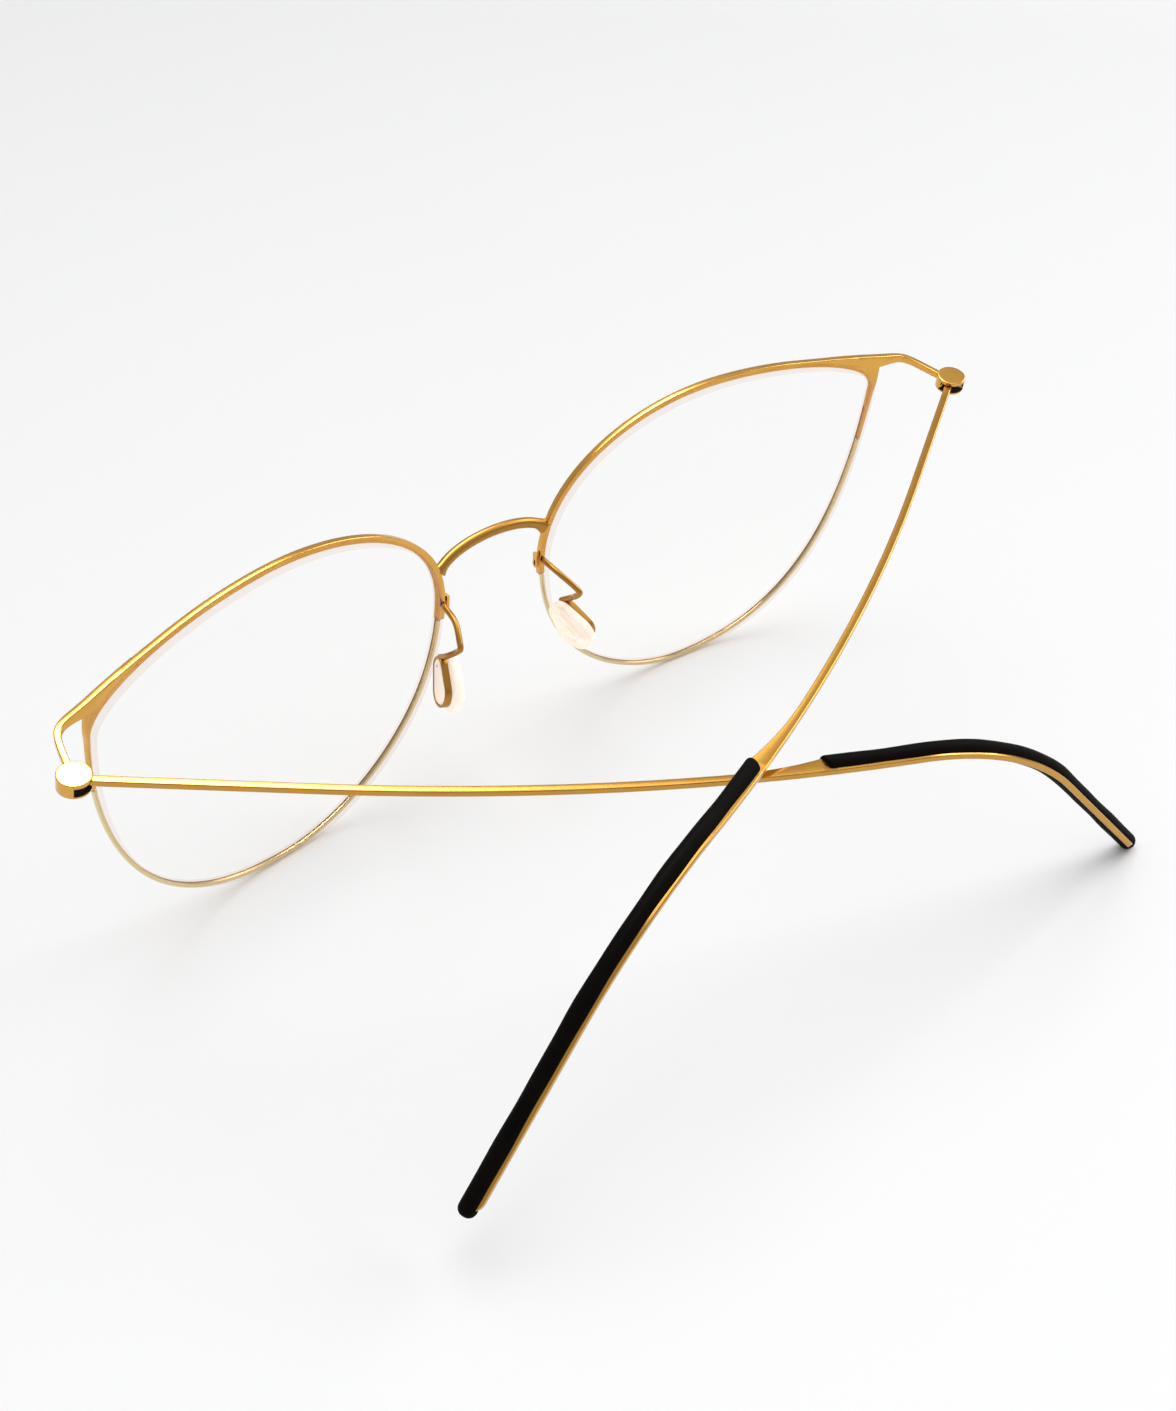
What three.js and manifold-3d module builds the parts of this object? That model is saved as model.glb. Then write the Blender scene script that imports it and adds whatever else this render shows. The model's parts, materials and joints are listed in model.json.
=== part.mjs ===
// Cat-eye eyeglasses in gold titanium, folded and standing on a table.
// Millimetres. +X is the wearer's left, +Y runs back towards the ears, +Z is up.
// Each side is drawn once, as the wearer's left, and mirrored for the right.
import * as THREE from "three";
import { mergeVertices } from "three/addons/utils/BufferGeometryUtils.js";
import Module from "manifold-3d";

const wasm = await Module();
wasm.setup();
const DEGREE = Math.PI / 180;

// Eye shape: the inner edge of a rim, between the extreme points of its box
const EYE_WIDTH = 52.5;
const EYE_HEIGHT = 44.3;
const NOSE_DISTANCE = 17.5;
const LOW_POINT_X = -1.6;
const OUTER_POINT_Z = 14.4;
const TOP_POINT_X = -0.3;
const NOSE_POINT_Z = 4.4;
// Reach of the curve's tangents from each extreme point
const LOW_REACH_NOSE = 10.6;
const LOW_REACH_OUTER = 16.4;
const OUTER_REACH_DOWN = 25.2;
const OUTER_REACH_UP = 6;
const TOP_REACH_OUTER = 7;
const TOP_REACH_NOSE = 12.6;
const NOSE_REACH_UP = 12.4;
const NOSE_REACH_DOWN = 17.1;
// Face form: each eye turns about its own centre and follows the lens base curve
const FACE_WRAP = 6.4 * DEGREE;
const BASE_RADIUS = 132;

// Rims: a stout brow with a web at its outer corner, and a fine lower wire
const BROW_WIDTH = 0.95;
const BROW_DEPTH = 0.95;
const LOWER_WIDTH = 0.7;
const LOWER_DEPTH = 0.8;
const WEB_WIDTH = 2.9;
const WEB_PAST_OUTER_POINT = 3.6;
const WEB_BROW_RUN = 12;
const WEB_RIM_RUN = 6.5;
const RIM_JOINT_BELOW_NOSE_POINT = 2.4;
const RIM_JOINT_BELOW_OUTER_POINT = 8.5;
const GROOVE_DEPTH = 0.3;
const GROOVE_HALF_WIDTH = 0.34;
// Lenses
const LENS_THICKNESS = 1.9;
const LENS_FRONT_PROUD = 0.5;
const LENS_BEVEL_HEIGHT = 0.3;
const LENS_BEVEL_HALF_WIDTH = 0.26;
const LENS_FACE_RINGS = [0.3, 0.65];
// Bridge
const BRIDGE_ABOVE_NOSE_POINT = 4.7;
const BRIDGE_RADIUS = 0.7;
const BRIDGE_ROOT_RADIUS = 1.0;
const BRIDGE_ROOT_RUN = 2;
const BRIDGE_ARCH = 2.1;
const BRIDGE_FORWARD = 1;
const BRIDGE_HANDLE = 2.6;
// End pieces, from the brow back to the hinge
const END_PIECE_BEFORE_WEB = 3.8;
const END_PIECE_WIDTH = 0.8;
const END_PIECE_HEIGHT = 0.95;
const END_PIECE_ROOT = 0.5;
const END_PIECE_ROOT_RUN = 0.25;
const END_PIECE_LEAD = 10.3;
const END_PIECE_TAIL = 7.65;
const END_PIECE_TURN = 12.7 * DEGREE;
const END_PIECE_DROP = 0.5;
// Hinge: a slotted barrel on the front, in which the eye of the temple turns
const HINGE_OUT = 67.1;
const HINGE_BACK = 15.2;
const HINGE_HEIGHT = 18.6;
const HINGE_TILT = 6.5 * DEGREE;
const HINGE_LEAN = -2.4 * DEGREE;
const BARREL_RADIUS = 1.9;
const BARREL_HEIGHT = 1.9;
const BARREL_WALL = 0.4;
const BARREL_ROOF = 0.42;
const BARREL_CHAMFER = 0.1;
const BARREL_FLOOR_RING = 0.3;
const PIN_RADIUS = 0.45;
const WASHER_THICKNESS = 0.18;
const CAP_THICKNESS = 0.24;
const OPEN_ANGLE = -7 * DEGREE;
const CLOSED_ANGLE = 77 * DEGREE;
const SLOT_MARGIN = 23 * DEGREE;
// Temples: a flat strip, bowed in plan, flared at the sleeve and dropped behind the ear
const TEMPLE_LENGTH = 143.5;
const TEMPLE_THICKNESS = 0.8;
const TEMPLE_WIDTH = 1.0;
const TEMPLE_FLARE = 1.15;
const TEMPLE_FLARE_RUN = 12;
const TEMPLE_SHANK_STEP = 0.4;
const TEMPLE_SHANK_RUN = 4;
const BOW_START = 25;
const BOW_END = 119;
const BOW_RADIUS = 287;
const DROP_START = 94.5;
const DROP_RADIUS = 32;
const DROP_ANGLE = 46 * DEGREE;
const RISE_RUN = 4;
const LEFT_RISE = 0.4 * DEGREE;
const RIGHT_RISE = 2.6 * DEGREE;
const LEFT_FOLD = 55.4 * DEGREE;
const RIGHT_FOLD = 57.5 * DEGREE;
// Tip sleeves: silicone, round, open along the outer edge of the strip
const SLEEVE_START = 82.5;
const SLEEVE_RADIUS = 1.1;
const SLEEVE_INSET = 0.9;
const SLEEVE_SLANT = 0.35;
const SLEEVE_SLANT_RUN = 4;
const SLEEVE_EDGE_ROUND = 0.4;
const SLEEVE_TIP_COVER = 1;
const SLEEVE_DOME = 80 * DEGREE;
const STRIP_END_ROUND = 1.4;
const STRIP_END_FLAT = 0.98;
// Nose pads: a teardrop ring on a hairpin wire, with a silicone pad pressed through it
const ARM_RADIUS = 0.4;
const RING_LENGTH = 6.6;
const RING_LOW_RADIUS = 2.1;
const RING_TOP_RADIUS = 1.45;
const RING_WALL = 0.35;
const RING_DEPTH = 0.95;
const RING_FROM_ROOT = new THREE.Vector3(2.9, 3.6, -8.7);
const HAIRPIN_FROM_ROOT = new THREE.Vector3(1.6, 5.7, -2.6);
const HAIRPIN_RISE = 1;
const HAIRPIN_DEPTH = 0.7;
const RING_SHANK = 2.6;
const PAD_SPLAY = 30 * DEGREE;
const PAD_RAKE = 41 * DEGREE;
const PAD_TURN = 17 * DEGREE;
const PAD_FLANGE_LOW = 0.75;
const PAD_FLANGE_TOP = 0.35;
const PAD_THICKNESS = 1.7;
const PAD_PLUG_CROWN = 0.15;
const PAD_PLUG_TAPER = -0.2;
// Cushion profile: share of the overhang, and share of the thickness from the ring to the face
const PAD_PROFILE = [[0.8, 0], [1, 0.3], [1, 0.55], [0.75, 0.88], [0, 1]];
// Rim locks: small slotted plates on the nose side, where the nose arms are fixed
const LOCK_HEIGHT = 2.1;
const LOCK_DEPTH = 0.9;
const LOCK_THICKNESS = 0.45;
const LOCK_SLOT_WIDTH = 0.36;
const LOCK_SLOT_HEIGHT = 0.9;
// Clearances
const SEAM_GAP = 0.12;
const HINGE_GAP = 0.06;
// Facets
const EYE_STEPS = 72;
const ROUND_STEPS = 24;
const WIRE_SIDES = 8;

const GOLD = { color: 0xd8a13c, roughness: 0.28, metalness: 1 };
const STEEL = { color: 0xc2c0ba, roughness: 0.35, metalness: 1 };
const LENS = { color: 0xf7f4ef, roughness: 0.03, metalness: 0, transparent: true, opacity: 0.2 };
const SILICONE = { color: 0xfaebe0, roughness: 0.4, metalness: 0 };
const BLACK_SILICONE = { color: 0x14110f, roughness: 0.45, metalness: 0 };
const NYLON = { color: 0xe9e4d8, roughness: 0.6, metalness: 0 };

const smooth = (t) => THREE.MathUtils.smoothstep(t, 0, 1);
const mix = THREE.MathUtils.lerp;
const clamp = THREE.MathUtils.clamp;
const spaced = (from, to, steps) => Array.from({ length: steps + 1 }, (_, i) => mix(from, to, i / steps));

// Solids

// Turns the faces of a closed mesh outwards.
function outward(geometry) {
  const position = geometry.getAttribute("position");
  const index = geometry.getIndex();
  const corner = (i) => new THREE.Vector3().fromBufferAttribute(position, index.getX(i));
  let volume = 0;
  for (let i = 0; i < index.count; i += 3) {
    volume += corner(i).dot(corner(i + 1).cross(corner(i + 2)));
  }
  if (volume < 0) {
    index.array.reverse();
  }
  return geometry;
}

// Skins a row of rings that have equally many points, and closes both ends with a fan.
function loft(rings) {
  const count = rings[0].length;
  const points = rings.flat();
  const index = [];
  for (let i = 0; i + 1 < rings.length; i += 1) {
    for (let k = 0; k < count; k += 1) {
      const a = i * count + k;
      const b = i * count + ((k + 1) % count);
      index.push(a, b, b + count, a, b + count, a + count);
    }
  }
  for (const first of [0, points.length - count]) {
    const ring = points.slice(first, first + count);
    const middle = ring.reduce((sum, p) => sum.add(p), new THREE.Vector3()).divideScalar(count);
    const apex = rings.length * count + (first ? 1 : 0);
    points.push(middle);
    for (let k = 0; k < count; k += 1) {
      const a = first + k;
      const b = first + ((k + 1) % count);
      index.push(apex, first ? a : b, first ? b : a);
    }
  }
  const geometry = new THREE.BufferGeometry().setFromPoints(points);
  geometry.setIndex(index);
  return outward(geometry);
}

function solid(geometry) {
  const bare = geometry.clone();
  bare.deleteAttribute("normal");
  bare.deleteAttribute("uv");
  const merged = outward(mergeVertices(bare, 1e-4));
  const vertProperties = new Float32Array(merged.getAttribute("position").array);
  const triVerts = new Uint32Array(merged.getIndex().array);
  return new wasm.Manifold(new wasm.Mesh({ numProp: 3, vertProperties, triVerts }));
}

function shape(body) {
  const mesh = body.getMesh();
  const geometry = new THREE.BufferGeometry();
  geometry.setAttribute("position", new THREE.BufferAttribute(mesh.vertProperties, 3));
  geometry.setIndex(new THREE.BufferAttribute(mesh.triVerts, 1));
  return geometry;
}

function mirrored(geometry) {
  const copy = geometry.clone().scale(-1, 1, 1);
  return outward(copy.getIndex() ? copy : mergeVertices(copy));
}

// A turned piece about +Z, from its radius and height pairs.
function turned(profile) {
  const points = profile.map(([radius, height]) => new THREE.Vector2(radius, height));
  return new THREE.LatheGeometry(points, ROUND_STEPS).rotateX(Math.PI / 2);
}

function turnedRing(inner, outer, low, high) {
  return turned([[inner, low], [outer, low], [outer, high], [inner, high], [inner, low]]);
}

// Eye outline, by arc length from its point nearest the nose, down and round

function eyeOutline() {
  const nose = new THREE.Vector2(-EYE_WIDTH / 2, NOSE_POINT_Z);
  const low = new THREE.Vector2(LOW_POINT_X, -EYE_HEIGHT / 2);
  const outer = new THREE.Vector2(EYE_WIDTH / 2, OUTER_POINT_Z);
  const top = new THREE.Vector2(TOP_POINT_X, EYE_HEIGHT / 2);
  const from = (point, x, z) => new THREE.Vector2(point.x + x, point.y + z);
  const path = new THREE.CurvePath();
  const add = (a, b, c, d) => path.add(new THREE.CubicBezierCurve(a, b, c, d));
  add(nose, from(nose, 0, -NOSE_REACH_DOWN), from(low, -LOW_REACH_NOSE, 0), low);
  add(low, from(low, LOW_REACH_OUTER, 0), from(outer, 0, -OUTER_REACH_DOWN), outer);
  add(outer, from(outer, 0, OUTER_REACH_UP), from(top, TOP_REACH_OUTER, 0), top);
  add(top, from(top, -TOP_REACH_NOSE, 0), from(nose, 0, NOSE_REACH_UP), nose);
  return path;
}

const EYE = eyeOutline();
const EYE_LENGTH = EYE.getLength();
const OUTER_POINT = EYE.getCurveLengths()[1];
const WEB_POINT = OUTER_POINT + WEB_PAST_OUTER_POINT;
const OUTER_JOINT = OUTER_POINT - RIM_JOINT_BELOW_OUTER_POINT;
const NOSE_JOINT = RIM_JOINT_BELOW_NOSE_POINT;

function eyeAt(run) {
  const turn = run / EYE_LENGTH;
  return EYE.getPoint(turn - Math.floor(turn));
}

function eyeNormal(run) {
  const step = EYE_LENGTH / 1000;
  const along = eyeAt(run + step).sub(eyeAt(run - step)).normalize();
  return new THREE.Vector2(along.y, -along.x);
}

// A point of the front, out from the eye shape and back from the dished middle of the rim.
function onFront(run, out, back) {
  const flat = eyeAt(run).addScaledVector(eyeNormal(run), out);
  return dished(flat, back);
}

function dished(flat, back) {
  const dish = BASE_RADIUS - Math.sqrt(BASE_RADIUS ** 2 - flat.lengthSq());
  return new THREE.Vector3(flat.x, dish + back, flat.y);
}

// Stations between two places on the outline, on the common grid of the rims and the lens.
function eyeStations(from, to) {
  const pitch = EYE_LENGTH / EYE_STEPS;
  const inner = spaced(0, 2 * EYE_LENGTH, 2 * EYE_STEPS);
  return [from, ...inner.filter((run) => run > from + pitch / 3 && run < to - pitch / 3), to];
}

// Front

const EYE_CENTRE = new THREE.Vector3((EYE_WIDTH + NOSE_DISTANCE) / 2, 0, 0);
const HINGE = new THREE.Vector3(HINGE_OUT, HINGE_BACK, HINGE_HEIGHT);
const UP = new THREE.Vector3(0, 0, 1);
const toFront = (point) => point.clone().applyAxisAngle(UP, FACE_WRAP).add(EYE_CENTRE);
const toEye = (point) => point.clone().sub(EYE_CENTRE).applyAxisAngle(UP, -FACE_WRAP);

function rimSection(width, depth) {
  return [
    [0, -depth / 2], [width, -depth / 2], [width, depth / 2], [0, depth / 2],
    [0, GROOVE_HALF_WIDTH], [GROOVE_DEPTH, 0], [0, -GROOVE_HALF_WIDTH],
  ];
}

// The web spreads from the brow as a tangent leaves a curve, and narrows faster into the lower wire.
function browWidth(run) {
  const past = run - WEB_POINT;
  if (past > 0) {
    return mix(BROW_WIDTH, WEB_WIDTH, clamp(1 - past / WEB_BROW_RUN, 0, 1) ** 2);
  }
  return mix(LOWER_WIDTH, WEB_WIDTH, clamp(1 + past / WEB_RIM_RUN, 0, 1) ** 3);
}

function browDepth(run) {
  return mix(LOWER_DEPTH, BROW_DEPTH, smooth((run - OUTER_JOINT) / (WEB_POINT - OUTER_JOINT)));
}

function rim(from, to, width, depth) {
  const ring = (run) => rimSection(width(run), depth(run)).map(([out, back]) => onFront(run, out, back));
  return loft(eyeStations(from, to).map(ring));
}

const lowerRim = () => rim(NOSE_JOINT + SEAM_GAP / 2, OUTER_JOINT - SEAM_GAP / 2,
  () => LOWER_WIDTH, () => LOWER_DEPTH);

// The end piece leaves the brow along its line and bends back to the hinge barrel.
function endPiece() {
  const run = WEB_POINT + END_PIECE_BEFORE_WEB;
  const line = (place) => onFront(place, browWidth(place) - END_PIECE_HEIGHT / 2, 0);
  const start = line(run);
  const ahead = start.clone().sub(line(run + END_PIECE_HEIGHT)).normalize();
  const before = (distance) => toEye(new THREE.Vector3(
    -distance * Math.sin(END_PIECE_TURN), -distance * Math.cos(END_PIECE_TURN),
    -END_PIECE_DROP - END_PIECE_HEIGHT / 2).applyEuler(hingeTurn(1)).add(HINGE));
  const stop = BARREL_RADIUS + SEAM_GAP;
  const path = new THREE.CubicBezierCurve3(start, start.clone().addScaledVector(ahead, END_PIECE_LEAD),
    before(stop + END_PIECE_TAIL), before(stop));
  const ring = (t) => {
    const along = path.getTangent(t);
    const side = UP.clone().cross(along).normalize();
    const over = along.clone().cross(side);
    const grown = mix(END_PIECE_ROOT, 1, smooth(t / END_PIECE_ROOT_RUN)) / 2;
    const corner = ([x, z]) => path.getPoint(t)
      .addScaledVector(side, x * END_PIECE_WIDTH * grown).addScaledVector(over, z * END_PIECE_HEIGHT * grown);
    return [[-1, -1], [1, -1], [1, 1], [-1, 1]].map(corner);
  };
  return loft(spaced(0, 1, ROUND_STEPS).map(ring));
}

function upperRim() {
  const brow = rim(OUTER_JOINT + SEAM_GAP / 2, EYE_LENGTH + NOSE_JOINT - SEAM_GAP / 2, browWidth, browDepth);
  return shape(solid(brow).add(solid(endPiece())));
}

// A meniscus lens whose edge carries a bevel that sits in the groove of the rims.
function lens() {
  const front = -LENS_FRONT_PROUD;
  const back = LENS_THICKNESS - LENS_FRONT_PROUD;
  const runs = spaced(0, EYE_LENGTH, EYE_STEPS).slice(0, -1);
  const edge = (out, depth) => runs.map((run) => onFront(run, out - SEAM_GAP, depth));
  const face = (share, depth) => runs.map((run) => dished(eyeAt(run).multiplyScalar(share), depth));
  return loft([
    ...LENS_FACE_RINGS.map((share) => face(share, front)),
    edge(0, front), edge(0, -LENS_BEVEL_HALF_WIDTH), edge(LENS_BEVEL_HEIGHT, 0),
    edge(0, LENS_BEVEL_HALF_WIDTH), edge(0, back),
    ...LENS_FACE_RINGS.toReversed().map((share) => face(share, back)),
  ]);
}

// The bridge is a round bar that arches up and forward, its ends hollowed to the sides of the brows.
function bridge() {
  const foot = EYE_LENGTH - BRIDGE_ABOVE_NOSE_POINT;
  const root = toFront(onFront(foot, BROW_WIDTH, 0));
  const across = (point) => new THREE.Vector3(-point.x, point.y, point.z);
  const handle = new THREE.Vector3(-BRIDGE_HANDLE, -BRIDGE_FORWARD, BRIDGE_ARCH).multiply(
    new THREE.Vector3(1, 4 / 3, 4 / 3)).add(root);
  const path = new THREE.CubicBezierCurve3(root, handle, across(handle), across(root));
  const length = path.getLength();
  const ring = (t) => {
    const along = path.getTangentAt(t);
    const square = t === 0 || t === 1 ? new THREE.Vector3(-1, 0, 0) : along;
    const front = new THREE.Vector3(0, -1, 0).projectOnPlane(square).normalize();
    const over = front.clone().cross(square);
    const near = smooth(length * Math.min(t, 1 - t) / BRIDGE_ROOT_RUN);
    const radius = mix(BRIDGE_ROOT_RADIUS, BRIDGE_RADIUS, near);
    const corner = (angle) => path.getPointAt(t).addScaledVector(front, BRIDGE_RADIUS * Math.cos(angle))
      .addScaledVector(over, radius * Math.sin(angle));
    return spaced(0, 2 * Math.PI, WIRE_SIDES + 2).slice(0, -1).map(corner);
  };
  const side = rim(foot - 2 * BRIDGE_ABOVE_NOSE_POINT, EYE_LENGTH,
    () => BROW_WIDTH + SEAM_GAP, () => BROW_DEPTH + 2 * BRIDGE_ROOT_RADIUS);
  side.rotateZ(FACE_WRAP).translate(EYE_CENTRE.x, 0, 0);
  const bar = solid(loft(spaced(0, 1, ROUND_STEPS).map(ring)));
  return shape(bar.subtract(solid(side)).subtract(solid(mirrored(side))));
}

// A slotted plate against the noseward side of the brow.
function rimLock() {
  const outline = new THREE.Shape();
  const half = LOCK_DEPTH / 2;
  outline.moveTo(half, LOCK_HEIGHT / 2);
  outline.lineTo(-half, LOCK_HEIGHT / 2);
  outline.absarc(0, half - LOCK_HEIGHT / 2, half, Math.PI, 2 * Math.PI);
  const slot = new THREE.Path();
  const round = LOCK_SLOT_WIDTH / 2;
  slot.absarc(0, half - LOCK_HEIGHT / 2 + LOCK_SLOT_HEIGHT - LOCK_SLOT_WIDTH, round, 0, Math.PI);
  slot.absarc(0, half - LOCK_HEIGHT / 2, round, Math.PI, 2 * Math.PI);
  outline.holes.push(slot);
  const plate = new THREE.ExtrudeGeometry(outline,
    { depth: LOCK_THICKNESS, bevelEnabled: false, curveSegments: WIRE_SIDES });
  const place = onFront(0, BROW_WIDTH + SEAM_GAP + LOCK_THICKNESS, 0);
  const basis = new THREE.Matrix4().makeBasis(
    new THREE.Vector3(0, 1, 0), new THREE.Vector3(0, 0, 1), new THREE.Vector3(1, 0, 0));
  return shape(solid(plate.applyMatrix4(basis).translate(place.x, place.y, place.z)));
}

// Nose pads

const ARM_ROOT = toFront(onFront(0, BROW_WIDTH / 2, BROW_DEPTH / 2 + SEAM_GAP));
const RING_CENTRE = ARM_ROOT.clone().add(RING_FROM_ROOT);
const PAD_UP = new THREE.Vector3(
  -Math.sin(PAD_RAKE) * Math.sin(PAD_SPLAY), -Math.sin(PAD_RAKE) * Math.cos(PAD_SPLAY), Math.cos(PAD_RAKE));
const TO_NOSE = new THREE.Vector3(-Math.cos(PAD_SPLAY), Math.sin(PAD_SPLAY), 0);
TO_NOSE.applyAxisAngle(PAD_UP, PAD_TURN);
const PAD_BACK = TO_NOSE.clone().cross(PAD_UP);

function padFrame() {
  const basis = new THREE.Matrix4().makeBasis(PAD_BACK.clone().negate(), PAD_UP, TO_NOSE);
  return basis.setPosition(RING_CENTRE);
}

// Two circles and their common tangents, each circle grown by its own offset.
function teardrop(growLow, growTop) {
  const low = RING_LOW_RADIUS + growLow;
  const top = RING_TOP_RADIUS + growTop;
  const lowCentre = RING_LOW_RADIUS - RING_LENGTH / 2;
  const topCentre = RING_LENGTH / 2 - RING_TOP_RADIUS;
  const lean = Math.asin((low - top) / (topCentre - lowCentre));
  const path = new THREE.Shape();
  path.absarc(0, topCentre, top, lean, Math.PI - lean);
  path.absarc(0, lowCentre, low, Math.PI - lean, 2 * Math.PI + lean);
  return path;
}

function noseArm() {
  const outline = teardrop(0, 0);
  outline.holes.push(teardrop(-RING_WALL, -RING_WALL));
  const ring = new THREE.ExtrudeGeometry(outline,
    { depth: RING_DEPTH, bevelEnabled: false, curveSegments: ROUND_STEPS / 3 });
  ring.translate(0, 0, -RING_DEPTH / 2).applyMatrix4(padFrame());
  const hairpin = ARM_ROOT.clone().add(HAIRPIN_FROM_ROOT);
  const ringTop = RING_CENTRE.clone().addScaledVector(PAD_UP, RING_LENGTH / 2 - RING_WALL / 2);
  const shift = (point, back, rise) => point.clone().add(new THREE.Vector3(0, back, rise));
  const path = new THREE.CatmullRomCurve3([
    ARM_ROOT,
    ARM_ROOT.clone().lerp(hairpin, 0.5).add(new THREE.Vector3(-ARM_RADIUS, 0, HAIRPIN_RISE / 2)),
    shift(hairpin, -HAIRPIN_DEPTH, HAIRPIN_RISE),
    hairpin,
    shift(hairpin, -HAIRPIN_DEPTH, -HAIRPIN_RISE),
    ringTop.clone().addScaledVector(PAD_BACK, RING_SHANK),
    ringTop,
  ]);
  const section = new THREE.Shape().absarc(0, 0, ARM_RADIUS, 0, 2 * Math.PI);
  const wire = new THREE.ExtrudeGeometry(section,
    { extrudePath: path, steps: ROUND_STEPS, curveSegments: WIRE_SIDES / 2, bevelEnabled: false });
  return shape(solid(ring).add(solid(wire)));
}

// A crowned teardrop cushion with a plug that fills the ring.
function nosePad() {
  const plug = -RING_WALL - SEAM_GAP;
  const back = -RING_DEPTH / 2;
  const seat = RING_DEPTH / 2 + SEAM_GAP;
  const face = seat + PAD_THICKNESS;
  const place = padFrame();
  const ring = ([share, height]) =>
    teardrop(mix(plug, PAD_FLANGE_LOW, share), mix(plug, PAD_FLANGE_TOP, share)).getPoints(ROUND_STEPS / 3)
      .map((point) => new THREE.Vector3(point.x, point.y, height).applyMatrix4(place));
  const cushion = PAD_PROFILE.map(([share, rise]) => [share, mix(seat, face, rise)]);
  return loft([[PAD_PLUG_TAPER, back], [0, back + PAD_PLUG_CROWN], [0, seat], ...cushion].map(ring));
}

// Hinge, in its own frame: the axis is Z and the roof of the barrel is at zero

const CAVITY_RADIUS = BARREL_RADIUS - BARREL_WALL;
const INNER_RADIUS = CAVITY_RADIUS - 2 * HINGE_GAP;
const BORE_RADIUS = PIN_RADIUS + HINGE_GAP;
const SLOT_TOP = -BARREL_ROOF - HINGE_GAP;
const EYE_TOP = SLOT_TOP - HINGE_GAP;
const EYE_BOTTOM = EYE_TOP - TEMPLE_THICKNESS;
const WASHER_TOP = EYE_BOTTOM - HINGE_GAP;
const CAP_TOP = CAP_THICKNESS - BARREL_HEIGHT;

function hingeTurn(side) {
  return new THREE.Euler(-HINGE_TILT, side * HINGE_LEAN, 0, "YXZ");
}

function barrel() {
  const rounded = BARREL_RADIUS - BARREL_CHAMFER;
  const cup = turned([
    [0, -BARREL_ROOF], [CAVITY_RADIUS, -BARREL_ROOF], [CAVITY_RADIUS, -BARREL_HEIGHT],
    [BARREL_RADIUS, -BARREL_HEIGHT], [BARREL_RADIUS, -BARREL_CHAMFER], [rounded, 0], [0, 0],
  ]);
  const straightBack = Math.PI / 2;
  const from = straightBack + OPEN_ANGLE - SLOT_MARGIN;
  const to = straightBack + CLOSED_ANGLE + SLOT_MARGIN;
  const sector = new THREE.Shape();
  sector.absarc(0, 0, BARREL_RADIUS + BARREL_WALL, from, to);
  sector.absarc(0, 0, CAVITY_RADIUS - BARREL_WALL, to, from, true);
  const floor = BARREL_FLOOR_RING - BARREL_HEIGHT;
  const slot = new THREE.ExtrudeGeometry(sector,
    { depth: SLOT_TOP - floor, bevelEnabled: false, curveSegments: ROUND_STEPS / 2 });
  return shape(solid(cup).subtract(solid(slot.translate(0, 0, floor))));
}

const hingePin = () => turned([[0, -BARREL_HEIGHT], [PIN_RADIUS, -BARREL_HEIGHT],
  [PIN_RADIUS, SLOT_TOP], [0, SLOT_TOP]]);
const hingeWasher = () => turnedRing(BORE_RADIUS, INNER_RADIUS, WASHER_TOP - WASHER_THICKNESS, WASHER_TOP);
const hingeCap = () => turnedRing(BORE_RADIUS, INNER_RADIUS, -BARREL_HEIGHT, CAP_TOP);

// Temple, in the frame of its hinge with the temple straight back along Y

const STRIP_END = TEMPLE_LENGTH - SLEEVE_TIP_COVER;

function templeDirection(run, rise) {
  const bow = clamp(run - BOW_START, 0, BOW_END - BOW_START) / BOW_RADIUS;
  const drop = clamp((run - DROP_START) / DROP_RADIUS, 0, DROP_ANGLE);
  const pitch = rise * smooth((run - BARREL_RADIUS) / RISE_RUN) - drop;
  const along = new THREE.Vector3(-Math.sin(bow), Math.cos(bow), 0).multiplyScalar(Math.cos(pitch));
  along.z = Math.sin(pitch);
  return { along, out: new THREE.Vector3(Math.cos(bow), Math.sin(bow), 0) };
}

// The middle line of the strip, with its outward and upward directions.
function templeFrame(run, rise) {
  const steps = Math.ceil(run);
  const point = new THREE.Vector3(0, 0, (EYE_TOP + EYE_BOTTOM) / 2);
  for (let i = 0; i < steps; i += 1) {
    point.addScaledVector(templeDirection(run * (i + 0.5) / steps, rise).along, run / steps);
  }
  const { along, out } = templeDirection(run, rise);
  return { point, along, out, over: out.clone().cross(along) };
}

function place(frame, out, over, along = 0) {
  return frame.point.clone().addScaledVector(frame.out, out)
    .addScaledVector(frame.over, over).addScaledVector(frame.along, along);
}

// Inner edge of the strip: straight, flared up to the sleeve, then drawn in to the shank.
function innerEdge(run) {
  const flare = clamp((run - SLEEVE_START) / TEMPLE_FLARE_RUN + 1, 0, 1) ** 2;
  const shank = smooth((run - SLEEVE_START) / TEMPLE_SHANK_RUN);
  return -TEMPLE_WIDTH / 2 - TEMPLE_FLARE * flare + TEMPLE_SHANK_STEP * shank;
}

function strip(rise, runs, grow, end) {
  const ring = (run) => {
    const frame = templeFrame(run, rise);
    const rounded = clamp((run - end) / STRIP_END_ROUND + 1, 0, STRIP_END_FLAT);
    const outer = TEMPLE_WIDTH / 2 + grow;
    const inner = innerEdge(run) - grow;
    const middle = (outer + inner) / 2;
    const half = (outer - inner) / 2 * Math.sqrt(1 - rounded ** 2);
    const thick = TEMPLE_THICKNESS / 2 + grow;
    return [[half, -thick], [half, thick], [-half, thick], [-half, -thick]]
      .map(([out, over]) => place(frame, middle + out, over));
  };
  return loft(runs.map(ring));
}

const sleeveRuns = (end) => [
  ...spaced(SLEEVE_START, SLEEVE_START + TEMPLE_SHANK_RUN, 4),
  ...spaced(SLEEVE_START + TEMPLE_SHANK_RUN, DROP_START, 2).slice(1),
  ...spaced(DROP_START, DROP_START + DROP_RADIUS * DROP_ANGLE, 12).slice(1),
  ...spaced(DROP_START + DROP_RADIUS * DROP_ANGLE, end, 3).slice(1),
];

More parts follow.
